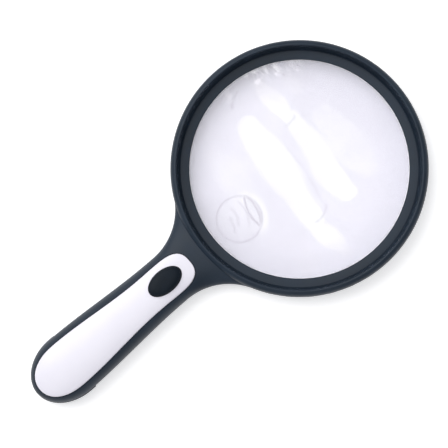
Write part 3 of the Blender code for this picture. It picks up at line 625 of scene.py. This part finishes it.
def rearHoles(bm):
    recess = [(0, -1), (2.9, -1), (2.7, 0.9), (2.7, 4.0), (1.35, 4.0), (1.35, 11), (0, 11)]
    for s, y, top in screws["places"]:
        lathe(bm, [(a * mm, b * mm) for a, b in recess], 48, at(s * mm, y * mm), closed=False)
    lamp = [(0, -2), (3.1, -2), (2.95, 1.0), (2.7, 1.5), (2.7, 6.5), (0, 6.5)]
    for s, y in ledPlaces():
        lathe(bm, [(a * mm, b * mm) for a, b in lamp], 48, at(s, y), closed=False)


def ledPlaces():
    angles = [math.radians(a) for a in rear["ledAngles"]]
    return [(rear["ledRing"] * mm * math.cos(a), rear["ledRing"] * mm * math.sin(a)) for a in angles]


def makeRearHousing(channels):
    housing = tool("rearShell", rearRing)
    sections = []
    for s in handleStations(204 * mm):
        sections.append(arch(s, rearHalfWidth(s), split, keelHeight(s), form["rearRound"], 56, lip=0.3 * mm))
    body = tool("rearBody", lambda bm: skin(bm, sections))
    core = tool("rearCore", lambda bm: rod(bm, front["coreRadius"] * mm, 0.04, at(0, 0, -0.01), 304))
    shape(body, [core])
    shape(housing, [body], "UNION")
    hollow = hollowTool("rearHollow", rearHalfWidth, split, lambda s: keelHeight(s) + 1.6 * mm,
                        form["rearRound"], -2 * mm, [front["walls"][0], front["walls"][-1]])
    opening = doorOpening()
    shape(housing, [hollow, opening] + channels)
    bosses = tool("rearBosses", rearBosses)
    shape(housing, [bosses], "UNION")
    holes = tool("rearHoles", rearHoles)
    shape(housing, [holes])
    dropTools([body, core, hollow, opening, bosses, holes])
    setPiece(housing, "root", ["rear_housing"], housingBlack)
    print("rear housing made", len(housing.data.polygons))


# battery door: a curved shell with a hinge barrel, a clip and five thumb grooves
door = {"start": 122.6, "end": 174.8, "rim": 4.6, "pivot": (122.3, 2.3), "barrel": 1.4, "barrelHalf": 12.7,
        "grooves": [163.4, 165.4, 167.4, 169.4, 171.4], "grooveRadius": 0.75, "grooveDepth": 0.5}


def doorSection(s):
    half, depth = rearHalfWidth(s), split - form["keel"]
    points = []
    for halfSpan, reach, order in ((half, depth, 1), (half - 1.05 * mm, depth - 1.5 * mm, -1)):
        start = math.asin(((split - door["rim"] * mm) / reach) ** 2)
        arc = []
        for angle in spread(start, math.pi - start, 49):
            c = math.cos(angle)
            y = halfSpan * math.copysign(abs(c) ** 0.5, c)
            arc.append((headX + s, y, split - reach * math.sin(angle) ** 0.5))
        points += arc[::order]
    return points


def capsule(bm, radius, length, place, steps=32):
    angles = [math.radians(a) for a in range(0, 91, 15)]
    end = [(radius * math.sin(a), radius * (1 - math.cos(a))) for a in angles]
    lathe(bm, end + [(r, length - z) for r, z in reversed(end)], steps, place, closed=False)


def bevelEdges(piece, width, angle=50, segments=2):
    bevel = piece.modifiers.new("edges", "BEVEL")
    bevel.width = width * mm
    bevel.segments = segments
    bevel.limit_method = "ANGLE"
    bevel.angle_limit = math.radians(angle)
    applyAll(piece)


def makeDoor():
    pivotS, pivotZ = door["pivot"]
    span = spread(door["start"] * mm, door["end"] * mm, 20)
    piece = tool("batteryDoor", lambda bm: skin(bm, [doorSection(s) for s in span]))
    bevelEdges(piece, 0.14)
    extra = tool("doorExtra", lambda bm: [
        capsule(bm, door["barrel"] * mm, 2 * door["barrelHalf"] * mm,
                acrossY(pivotS * mm, -door["barrelHalf"] * mm, pivotZ * mm), 40),
        block(bm, (173.3 * mm, -4 * mm, 1.5 * mm), (174.2 * mm, 4 * mm, 4.55 * mm))])
    shape(piece, [extra], "UNION")
    radius = door["grooveRadius"] * mm
    low = (form["keel"] + door["grooveDepth"] * mm) - radius
    grooves = tool("grooves", lambda bm: [
        capsule(bm, radius, 12 * mm, acrossY(s * mm, -6 * mm, low)) for s in door["grooves"]])
    shape(piece, [grooves])
    dropTools([extra, grooves])
    setPiece(piece, "door", ["battery_door"], housingBlack)
    print("battery door made", len(piece.data.polygons))


channels = channelTools()
makeFrontHousing(channels)
makeRearHousing(channels)
dropTools(channels)
makeDoor()

# lens: a shallow dome front and back, with the strong spot raised on the front
lens = {"edgeLow": 6.2, "edgeHigh": 8.2, "frontSag": 7.5, "rearSag": 5.0, "steps": 256, "rings": 110,
        "spotAt": 46.3, "spotRadius": 14.0, "spotRise": 2.1, "filmLift": 0.45}


def frontSurface(r):
    return (lens["edgeHigh"] + lens["frontSag"] * (1 - (r / lensRadius) ** 2)) * mm


def spotRise(x, y):
    away = math.hypot(x - lens["spotAt"] * mm, y) / (lens["spotRadius"] * mm)
    if away >= 1.0:
        return 0.0
    return lens["spotRise"] * mm * (1 - away ** 2) ** 0.9


def makeLens():
    bm = bmesh.new()
    rear = []
    for r in spread(0, lensRadius - 0.3 * mm, 24):
        rear.append((r, (lens["edgeLow"] - lens["rearSag"] * (1 - (r / lensRadius) ** 2)) * mm))
    rim = [(lensRadius, (lens["edgeLow"] + 0.25) * mm), (lensRadius, (lens["edgeHigh"] - 0.25) * mm)]
    top = [(r, frontSurface(r)) for r in reversed(spread(0, lensRadius - 0.3 * mm, lens["rings"]))]
    lathe(bm, rear + rim + top, lens["steps"], at(0), closed=False)
    for vert in bm.verts:
        x, y = vert.co.x - headX, vert.co.y
        if vert.co.z > frontSurface(math.hypot(x, y)) - 0.05 * mm:
            vert.co.z += spotRise(x, y)
    piece = finishMesh("mainLens", bm, 40)
    setPiece(piece, "root", ["main_lens"], clearAcrylic())
    print("lens made")


# protective film: long soft folds lie across the view, each painted lighter as a painted highlight along the
# fold
film = {"radius": 64.85, "thickness": 0.12, "foldHeight": 0.22,
        # each fold: start and end in mm from the middle, half its width, strength
        "folds": [((-16, -54), (-15.5, -28), 6.5, 0.75), ((-17, -24), (-11, 29), 9.5, 0.9),
                  ((7, -38), (13, 28), 11.5, 1.0), ((15, 32), (11, 54), 6.5, 0.8),
                  ((-33, -14), (-31, 26), 12.0, 0.45), ((34, -38), (33, -4), 10.0, 0.45),
                  ((29, 42), (33, 48), 7.0, 0.35), ((-31, -45), (-29, -36), 5.5, 0.5)],
        # sharp creases: start, end, sideways bow, strength, all but the last in mm
        "creases": [((34.5, -9.5), (39.5, 12), 3.0, 0.6), ((34.5, -9.5), (39.5, 12), -2.7, 0.75),
                    ((40, -10), (45, 8), 1.6, 0.3), ((46, -9), (49, 4), 1.0, 0.3),
                    ((50, -5), (53, 5), 0.8, 0.25), ((-19, -26), (-9, -24), 1.5, 0.3),
                    ((8, -52), (-4, -60), 1.0, 0.3), ((-24, -60), (-30, -46), 1.2, 0.3),
                    ((1, 26), (15, 31), 2.0, 0.3), ((-3, -20), (5, 34), 2.0, 0.14)],
        # where the film's edge is crumpled and painted glints lie: middle, reach, strength
        "crinkles": [((-16, -60), 7.0, 0.8), ((-27, -56), 7.0, 0.7), ((-38, -49), 6.0, 0.5),
                     ((2, -61), 6.0, 0.35)]}


def alongLine(here, start, end):
    # share of the way from start to end, and the signed distance to the side, in mm
    a, run = Vector(start), Vector(end) - Vector(start)
    t = min(max((here - a).dot(run) / run.length_squared, 0.0), 1.0)
    side = run.normalized().cross(here - a)
    return t, side, (here - a - run * t).length


def foldAt(x, y):
    total = 0.0
    warp = noise.noise(Vector((x * 45, y * 45, 1.7))) * 3.5
    here = Vector((x / mm + warp, y / mm))
    for start, end, width, strength in film["folds"]:
        t, side, away = alongLine(here, start, end)
        reach = width * (0.62 + 0.38 * math.sin(math.pi * t))
        total = max(total, strength * ease(1.2 - away / reach, 0.0, 0.55))
    return total


def creaseAt(x, y):
    total = 0.0
    here = Vector((x / mm, y / mm))
    for start, end, bow, strength in film["creases"]:
        t, side, away = alongLine(here, start, end)
        if 0.0 < t < 1.0:
            wander = 0.9 * noise.noise(Vector((x * 130, y * 130, 6.0)))
            off = (side - bow * math.sin(math.pi * t) + wander) / 0.75
            total = max(total, strength * math.exp(-off * off) * min(1.0, 8 * t, 8 * (1 - t)))
    # a line of painted shade round the spot's edge
    edge = (math.hypot(here.x - lens["spotAt"], here.y) - lens["spotRadius"] + 0.4) / 0.6
    side = 0.5 + 0.5 * noise.noise(Vector((x * 90, y * 90, 4.0)))
    return max(total, 0.6 * math.exp(-edge * edge) * (0.35 + 0.65 * side))


def crinkleAt(x, y):
    total = 0.0
    for centre, reach, strength in film["crinkles"]:
        away = math.hypot(x / mm - centre[0], y / mm - centre[1]) / reach
        total = max(total, strength * ease(1.3 - away, 0.0, 1.0))
    return total


def haloAt(x, y):
    # the film bridges the step round the spot, with a painted highlight on the side away from the handle
    dx, dy = x / mm - lens["spotAt"], y / mm
    away = (math.hypot(dx, dy) - 15.6) / 2.2
    return 1.0 * math.exp(-away * away) * ease(math.cos(math.atan2(dy - 5, -dx)), -0.1, 0.9)


def makeFilm():
    bm = bmesh.new()
    outer = film["radius"] * mm
    profile = [(r, frontSurface(r)) for r in spread(0, outer, 120)]
    lathe(bm, profile, 320, at(0), closed=False)
    bmesh.ops.remove_doubles(bm, verts=bm.verts, dist=1e-6)
    layers = {name: bm.verts.layers.float.new(name) for name in ("contact", "crease", "crinkle")}
    for vert in bm.verts:
        x, y = vert.co.x - headX, vert.co.y
        fold, crease, crinkle = foldAt(x, y), creaseAt(x, y), crinkleAt(x, y)
        ripple = noise.fractal(Vector((x * 60, y * 60, 0.3)), 0.8, 2.1, 4)
        crumple = noise.fractal(Vector((x * 420, y * 420, 2.3)), 0.9, 2.2, 3) * crinkle
        share = math.hypot(x, y) / outer
        # painted shade of the ring: the film is darkened towards its edge, less so on the left
        towardsLeft = (0.766 * x - 0.643 * y) / max(math.hypot(x, y), 1e-6)
        paintedRimShade = ease(share, 0.6, 1.0) * (0.27 - 0.11 * towardsLeft)
        lift = film["foldHeight"] * fold * 0.5 + 0.08 * ripple - 0.06 * crease + 0.05 * crumple
        vert.co.z += (lens["filmLift"] + lift) * mm + spotRise(x, y)
        inSpot = 0.35 * ease(lens["spotRadius"] - math.hypot(x / mm - lens["spotAt"], y / mm), 0.0, 3.0)
        # painted light: lighter along the folds, inside the spot and round it, darker at the rim
        value = 0.45 + 0.55 * max(fold, inSpot, haloAt(x, y)) + 0.07 * ripple - paintedRimShade
        vert[layers["contact"]] = min(max(value, 0.0), 1.0)
        vert[layers["crease"]] = min(crease, 1.0)
        vert[layers["crinkle"]] = crinkle
    piece = finishMesh("lensFilm", bm, 60)
    solid = piece.modifiers.new("thickness", "SOLIDIFY")
    solid.thickness = film["thickness"] * mm
    solid.offset = 0.0
    applyAll(piece, 60)
    setPiece(piece, "root", ["lens_film"], milkyFilm())
    print("film made")


makeLens()
makeFilm()


# white handle panel with the oval opening
def makePanel():
    piece = tool("handlePanel", lambda bm: panelSkin(bm, 0.0, 0.4 * mm, 1.3 * mm, 0.6 * mm))
    rim = surfaceHeight(buttonAt * mm, 0) / mm + 0.4
    length, width = front["buttonOpening"]
    # the opening's edge is eased: each step is (wider by, height above the rim)
    steps = [(0, -6), (0, -0.45), (0.15, -0.15), (0.55, 0.15), (1.05, 3)]
    opening = tool("opening", lambda bm: skin(bm, ovalSections([
        (length + wider, width + wider, rim + rise, buttonSlope, 0) for wider, rise in steps])))
    pegs = tool("pegs", lambda bm: [
        rod(bm, 1.2 * mm, surfaceHeight(s * mm, 0) - 17.0 * mm, at(s * mm, 0, 16.5 * mm), 32)
        for s in panelPegs])
    shape(piece, [opening], sharp=30)
    shape(piece, [pegs], "UNION", 30)
    dropTools([opening, pegs])
    setPiece(piece, "root", ["handle_panel"], panelWhite)
    print("panel made")


# oval button: the dome peaks near the lens, so its lens side is steep and its tail side a long slope
button = {"length": 11.2, "width": 6.6, "flange": 13.1, "flangeReach": 1.2, "lean": 0.28,
          "dome": [(0.995, 0.0), (0.985, 0.35), (0.96, 0.7), (0.915, 1.05), (0.85, 1.4), (0.76, 1.7),
                   (0.64, 1.95), (0.5, 2.12), (0.35, 2.22), (0.2, 2.27), (0.08, 2.28)]}


def makeButton():
    rim = surfaceHeight(buttonAt * mm, 0) / mm + 0.3
    length, width, foot, reach = button["length"], button["width"], button["flange"], button["flangeReach"]
    levels = [(length + reach, width + reach, foot, 0, 0), (length + reach, width + reach, foot + 1.2, 0, 0),
              (length, width, foot + 1.2, 0, 0), (length, width, rim - 0.6, buttonSlope, 0),
              (length, width, rim, buttonSlope, 0)]
    for size, rise in button["dome"]:
        shift = -(1 - size) * length * button["lean"]
        levels.append((length * size, width * size, rim + rise, buttonSlope, shift))
    piece = tool("switchButton", lambda bm: skin(bm, ovalSections(levels)))
    setPiece(piece, "button", ["switch_button"], buttonBlack)
    print("button made")


makePanel()
makeButton()


# cells: rounded cans with a shrunk sleeve; "along" runs from the positive end, "sleeve" is 0 on naked metal
cellForm = {
    "length": 44.5,
    "sleeve": (4.42, 1.0, 44.08),             # naked within this radius, and outside these ends
    "profile": [(0, 0), (1.9, 0.05), (1.9, 0.9), (3.4, 0.95), (4.45, 1.1), (4.9, 1.05), (5.15, 1.3),
                (5.2, 1.8), (5.2, 23), (5.2, 42.6), (5.15, 43.6), (4.9, 44.05), (4.55, 44.1),
                (4.3, 44.45), (3.0, 44.5), (0, 44.5)],
}


def sleeveMaterial():
    paint = Paint("cellSleeve")
    along = paint.node("Attribute", attribute_name="along").outputs["Fac"]
    sleeve = paint.node("Attribute", attribute_name="sleeve").outputs["Fac"]
    band = paint.node("ValToRGB", {"Fac": along})
    band.color_ramp.interpolation = "CONSTANT"
    band.color_ramp.elements[0].color = (0.42, 0.20, 0.09, 1)
    band.color_ramp.elements[1].position = 0.27
    band.color_ramp.elements[1].color = (0.020, 0.021, 0.024, 1)
    band.color_ramp.elements.new(0.255).color = (0.55, 0.54, 0.52, 1)
    scuff = paint.grain(260.0, 4.0, 0.6, (0.2, 1.0, 1.0))
    wear = paint.remap(scuff, 0.60, 0.75, 0.0, 0.25)
    worn = paint.blend(wear, band.outputs["Color"], (0.35, 0.34, 0.33, 1))
    metal = paint.blend(scuff, (0.58, 0.57, 0.55, 1), (0.72, 0.71, 0.69, 1))
    covered = paint.remap(sleeve, 0.45, 0.55, 0.0, 1.0)
    paint.feed("Base Color", paint.blend(covered, metal, worn))
    paint.feed("Metallic", paint.remap(sleeve, 0.45, 0.55, 1.0, 0.15))
    paint.feed("Roughness", paint.remap(scuff, 0.3, 0.7, 0.24, 0.38))
    paint.bump(paint.grain(900.0, 2.0), 0.08, 0.00005)
    return paint.material


def makeCells():
    material = sleeveMaterial()
    naked, first, last = cellForm["sleeve"]
    for n, (y, z) in enumerate(cells["places"]):
        low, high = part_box("battery_" + str(n + 1))
        # the middle cell faces the other way
        start, turn = (high.x, -math.pi / 2) if n == 1 else (low.x, math.pi / 2)
        place = Matrix.Translation((start, y * mm, z * mm)) @ Matrix.Rotation(turn, 4, "Y")
        bm = bmesh.new()
        lathe(bm, [(r * mm, a * mm) for r, a in cellForm["profile"]], 64, Matrix(), closed=False)
        along = bm.verts.layers.float.new("along")
        sleeve = bm.verts.layers.float.new("sleeve")
        for vert in bm.verts:
            vert[along] = vert.co.z / (cellForm["length"] * mm)
            vert[sleeve] = float(vert.co.xy.length > naked * mm and first * mm < vert.co.z < last * mm)
        bmesh.ops.transform(bm, matrix=place, verts=bm.verts)
        setPiece(finishMesh("cell" + str(n + 1), bm), "root", ["battery_" + str(n + 1)], material)
    print("cells made")


# nickel, dark zinc and other small-part materials
def platedMetal(name, dark, light, streaks, roughness):
    paint = Paint(name)
    paint.set(Metallic=1.0)
    brushed = paint.grain(420.0, 4.0, 0.6, streaks)
    stain = paint.grain(90.0, 3.0)
    tone = paint.blend(brushed, dark, light)
    stained = [channel * 0.55 for channel in dark[:3]] + [1]
    paint.feed("Base Color", paint.blend(paint.remap(stain, 0.58, 0.78, 0.0, 0.4), tone, stained))
    paint.feed("Roughness", paint.remap(brushed, 0.3, 0.7, roughness - 0.06, roughness + 0.10))
    paint.bump(brushed, 0.10, 0.00004)
    return paint.material


def insulation(name, dark, light):
    paint = Paint(name)
    paint.set(IOR=1.5)
    mottle = paint.grain(500.0, 3.0)
    paint.feed("Base Color", paint.blend(mottle, dark, light))
    paint.feed("Roughness", paint.remap(mottle, 0.3, 0.7, 0.32, 0.48))
    paint.bump(paint.grain(1500.0, 2.0), 0.10, 0.00005)
    return paint.material


def solderMask():
    paint = Paint("solderMask")
    traces = paint.node("TexBrick", {"Vector": paint.place, "Scale": 260.0, "Mortar Size": 0.035,
                                     "Color1": (0.012, 0.11, 0.042, 1), "Color2": (0.016, 0.13, 0.050, 1),
                                     "Mortar": (0.006, 0.065, 0.026, 1)})
    weave = paint.grain(1300.0, 2.0)
    shine = paint.remap(weave, 0.4, 0.7, 0.0, 0.35)
    tone = paint.blend(shine, traces.outputs["Color"], (0.03, 0.16, 0.06, 1))
    paint.feed("Base Color", tone)
    paint.feed("Roughness", paint.remap(weave, 0.3, 0.7, 0.25, 0.40))
    paint.bump(traces.outputs["Fac"], 0.25, 0.00006)
    return paint.material


def bandedLacquer():
    # colour rings run across the resistor's length, which lies along Y
    paint = Paint("bandedLacquer")
    across = paint.node("SeparateXYZ", {"Vector": paint.place}).outputs["Y"]
    low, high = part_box("led_resistor")
    share = paint.remap(across, low.y, high.y, 0.0, 1.0)
    ramp = paint.node("ValToRGB", {"Fac": share})
    ramp.color_ramp.interpolation = "CONSTANT"
    tan = (0.60, 0.45, 0.28, 1)
    bands = [(0.22, (0.35, 0.02, 0.02, 1)), (0.32, tan), (0.42, (0.02, 0.02, 0.02, 1)), (0.52, tan),
             (0.60, (0.12, 0.05, 0.02, 1)), (0.70, tan), (0.84, (0.62, 0.45, 0.12, 1))]
    ramp.color_ramp.elements[0].color = tan
    ramp.color_ramp.elements[1].position = 0.92
    ramp.color_ramp.elements[1].color = tan
    for place, colour in bands:
        ramp.color_ramp.elements.new(place).color = colour
    speckle = paint.grain(900.0, 3.0)
    dots = paint.remap(speckle, 0.3, 0.8, 0.0, 0.2)
    paint.feed("Base Color", paint.blend(dots, ramp.outputs["Color"], (0.75, 0.65, 0.5, 1)))
    paint.feed("Roughness", paint.remap(speckle, 0.3, 0.7, 0.30, 0.45))
    return paint.material


def ledEpoxy():
    # "chip" marks the phosphor that shines yellow through the clear body
    paint = Paint("ledEpoxy")
    paint.set(IOR=1.53)
    chip = paint.node("Attribute", attribute_name="chip").outputs["Fac"]
    flow = paint.grain(700.0, 3.0)
    clear = paint.blend(flow, (0.90, 0.92, 0.95, 1), (0.97, 0.98, 1.0, 1))
    paint.feed("Base Color", paint.blend(chip, clear, (0.85, 0.62, 0.10, 1)))
    paint.feed("Transmission Weight", paint.remap(chip, 0.0, 1.0, 0.92, 0.0))
    paint.feed("Roughness", paint.remap(flow, 0.3, 0.7, 0.03, 0.10))
    return paint.material


nickel = platedMetal("nickelPlate", (0.60, 0.59, 0.55, 1), (0.74, 0.73, 0.69, 1), (0.15, 1.0, 1.0), 0.26)
screwMetal = platedMetal("darkZinc", (0.30, 0.30, 0.32, 1), (0.46, 0.46, 0.48, 1), (1.0, 1.0, 1.0), 0.34)


def wirePiece(name, path, radius, sides=5):
    curve = bpy.data.curves.new(name, "CURVE")
    curve.dimensions = "3D"
    curve.bevel_depth = radius
    curve.bevel_resolution = sides
    curve.use_fill_caps = True
    spline = curve.splines.new("POLY")
    spline.points.add(len(path) - 1)
    for point, place in zip(spline.points, path):
        point.co = (*place, 1.0)
    source = bpy.data.objects.new(name + "Curve", curve)
    bpy.context.scene.collection.objects.link(source)
    bpy.context.view_layer.update()
    bm = bmesh.new()
    mesh = bpy.data.meshes.new_from_object(source.evaluated_get(bpy.context.evaluated_depsgraph_get()))
    bm.from_mesh(mesh)
    bpy.data.meshes.remove(mesh)
    bpy.data.objects.remove(source)
    return finishMesh(name, bm, 50)


spring = {"wire": 0.26, "turns": 3.25, "wide": 3.38, "narrow": 1.9}


def makeSprings():
    for n, (y, z) in enumerate(cells["places"]):
        low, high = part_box("battery_spring_" + str(n + 1))
        base, tip = (low.x, high.x) if n == 1 else (high.x, low.x)
        inset = math.copysign(spring["wire"] * mm, tip - base)
        path = []
        steps = 156
        for i in range(steps + 1):
            u = i / steps
            angle = 2 * math.pi * spring["turns"] * u
            # the last turn at each end lies flat
            rise = min(max((u * spring["turns"] - 0.5) / (spring["turns"] - 1.0), 0.0), 1.0)
            radius = (spring["wide"] + (spring["narrow"] - spring["wide"]) * u) * mm
            along = base + inset + (tip - base - 2 * inset) * rise
            path.append((along, y * mm + radius * math.cos(angle), z * mm + radius * math.sin(angle)))
        coil = wirePiece("coil" + str(n + 1), path, spring["wire"] * mm)
        setPiece(coil, "root", ["battery_spring_" + str(n + 1)], nickel)
    print("springs made")


def crossArm(bm, place, turn, wide):
    # one arm of the cross recess, narrower at its bottom
    flat = Matrix.Rotation(math.radians(turn), 4, "Z") @ Matrix.Diagonal((1, 0.22, 1, 1))
    bmesh.ops.create_cone(bm, cap_ends=True, segments=4, radius1=wide * 1.3 * mm, radius2=wide * 0.8 * mm,
                          depth=2.4 * mm, matrix=place @ flat @ Matrix.Rotation(math.radians(45), 4, "Z"))


def makeScrews():
    seat, head, shank, length = screws["seat"] - 0.3, screws["head"], screws["shank"], screws["length"]
    for n, (s, y, top) in enumerate(screws["places"]):
        profile = [(0, seat - 1.7), (0.9, seat - 1.68), (1.5, seat - 1.55), (2.0, seat - 1.2),
                   (head - 0.05, seat - 0.8), (head, seat - 0.55), (head, seat - 0.1), (head - 0.1, seat),
                   (shank, seat), (shank, seat + 0.6)]
        z = seat + 0.6
        while z < seat + length - 1.2:          # thread
            profile += [(shank, z), (shank * 0.78, z + 0.22), (shank * 0.78, z + 0.28)]
            z += 0.5
        profile += [(shank * 0.8, seat + length - 0.9), (0, seat + length - 0.02)]
        screw = tool("screw" + str(n + 1), lambda bm: lathe(
            bm, [(a * mm, b * mm) for a, b in profile], 48, at(s * mm, y * mm), closed=False))
        place = at(s * mm, y * mm, (seat - 1.9) * mm)
        arms = [tool("arm", lambda bm: crossArm(bm, place, turn, wide))
                for turn, wide in ((20 + 35 * n, 1.0), (110 + 35 * n, 0.97))]
        shape(screw, arms, sharp=30)
        dropTools(arms)
        setPiece(screw, "root", ["housing_screw_" + str(n + 1)], screwMetal)
    print("screws made")


def makeLeds():
    material = ledEpoxy()
    for n, (s, y) in enumerate(ledPlaces()):
        low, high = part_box("led_" + str(n + 1))
        top, tip, radius = high.z / mm, low.z / mm, 2.4
        profile = [(0, top), (2.65, top), (2.75, top - 0.1), (2.75, top - 0.9), (2.65, top - 1.0),
                   (radius, top - 1.0)]
        for k in range(13):
            a = math.radians(7.5 * k)
            profile.append((radius * math.cos(a), tip + radius * (1 - math.sin(a))))
        bm = bmesh.new()
        lathe(bm, [(a * mm, b * mm) for a, b in profile], 48, at(s, y), closed=False)
        bmesh.ops.remove_doubles(bm, verts=bm.verts, dist=1e-6)
        chip = bm.verts.layers.float.new("chip")
        inner = len(bm.verts)
        block(bm, (s - 0.55 * mm, y - 0.55 * mm, 4.4 * mm), (s + 0.55 * mm, y + 0.55 * mm, 4.8 * mm))
        rod(bm, 0.9 * mm, 0.5 * mm, at(s, y, 4.9 * mm), 24)
        bm.verts.ensure_lookup_table()
        for vert in bm.verts[inner:]:
            vert[chip] = 1.0
        setPiece(finishMesh("led" + str(n + 1), bm), "root", ["led_" + str(n + 1)], material)
    print("leds made")


def dressCadNode(nodes, material):
    for name in nodes:
        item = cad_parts[name]
        item.data.materials.clear()
        item.data.materials.append(material)


makeCells()
makeSprings()
makeScrews()
makeLeds()
red = insulation("redInsulation", (0.42, 0.015, 0.012, 1), (0.58, 0.03, 0.025, 1))
black = insulation("blackInsulation", (0.010, 0.010, 0.011, 1), (0.024, 0.024, 0.026, 1))
dressCadNode(["lead_positive", "led_lead_positive"], red)
dressCadNode(["lead_negative", "led_lead_negative"], black)
dressCadNode(["contact_positive", "contact_negative", "contact_bridge_head", "contact_bridge_tail"], nickel)
dressCadNode(["switch_board", "led_board"], solderMask())
dressCadNode(["led_resistor"], bandedLacquer())
dressCadNode(["switch_body"], mouldedPlastic("switchGrey", dict(
    blackLook, dark=(0.055, 0.055, 0.06, 1), light=(0.085, 0.085, 0.09, 1), cloudScale=400.0)))
dressCadNode(["switch_plunger"], buttonBlack)
print("inner pieces dressed")

# floor, light and camera
# aim and distance in mm; tilt from straight down, compass and roll in degrees
studio = {
    "aim": (-9.0, -3.8, 12.0), "distance": 850.0, "tilt": 4.8, "compass": -88.3, "roll": -42.3,
    "lens": 115.66,
    "floorGlow": 0.44, "roomLight": 0.36,
    # each lamp: place in metres, size, power
    "lamps": {"keyLight": ((0.15, -1.15, 1.45), 1.9, 25.5), "fillLight": ((0.9, 1.0, 1.2), 1.4, 3.0),
              "topLight": ((-0.2, -0.13, 1.6), 1.4, 5.0)},
}


def makeStudio():
    bm = bmesh.new()
    bmesh.ops.create_grid(bm, x_segments=1, y_segments=1, size=3.0)
    bmesh.ops.translate(bm, verts=bm.verts, vec=(0, 0, -0.0002))
    floor = finishMesh("floor", bm)
    paint = Paint("paleFloor")
    paint.set(Roughness=0.9)
    mottle = paint.grain(3.0, 2.0)
    paint.feed("Base Color", paint.blend(mottle, (0.90, 0.90, 0.905, 1), (0.92, 0.92, 0.925, 1)))
    paint.shader.inputs["Emission Color"].default_value = (1, 1, 1, 1)
    paint.shader.inputs["Emission Strength"].default_value = studio["floorGlow"]
    floor.data.materials.append(paint.material)
    world = bpy.data.worlds.new("softRoom")
    bpy.context.scene.world = world
    world.use_nodes = True
    back = world.node_tree.nodes["Background"]
    back.inputs["Color"].default_value = (0.95, 0.96, 1.0, 1)
    back.inputs["Strength"].default_value = studio["roomLight"]
    for name, (place, size, power) in studio["lamps"].items():
        data = bpy.data.lights.new(name, "AREA")
        data.shape = "DISK"
        data.size = size
        data.energy = power
        lamp = bpy.data.objects.new(name, data)
        lamp.location = place
        lamp.rotation_euler = (-Vector(place)).to_track_quat("-Z", "Y").to_euler()
        bpy.context.scene.collection.objects.link(lamp)
    camera = bpy.data.objects.new("camera", bpy.data.cameras.new("camera"))
    camera.data.lens = studio["lens"]
    camera.data.sensor_width = 36.0
    tilt = math.radians(studio["tilt"])
    compass = math.radians(studio["compass"])
    ahead = Vector((math.cos(compass), math.sin(compass), 0))
    back = Vector((0, 0, math.cos(tilt))) - ahead * math.sin(tilt)
    right = ahead.cross(Vector((0, 0, 1)))
    turn = Matrix((right, back.cross(right), back)).transposed()
    turn = turn @ Matrix.Rotation(math.radians(studio["roll"]), 3, "Z")
    camera.rotation_euler = turn.to_euler()
    camera.location = Vector(studio["aim"]) * mm + back * studio["distance"] * mm
    camera.data.clip_start = 0.01
    bpy.context.scene.collection.objects.link(camera)
    bpy.context.scene.camera = camera
    bpy.context.scene.view_settings.view_transform = "Standard"


makeStudio()
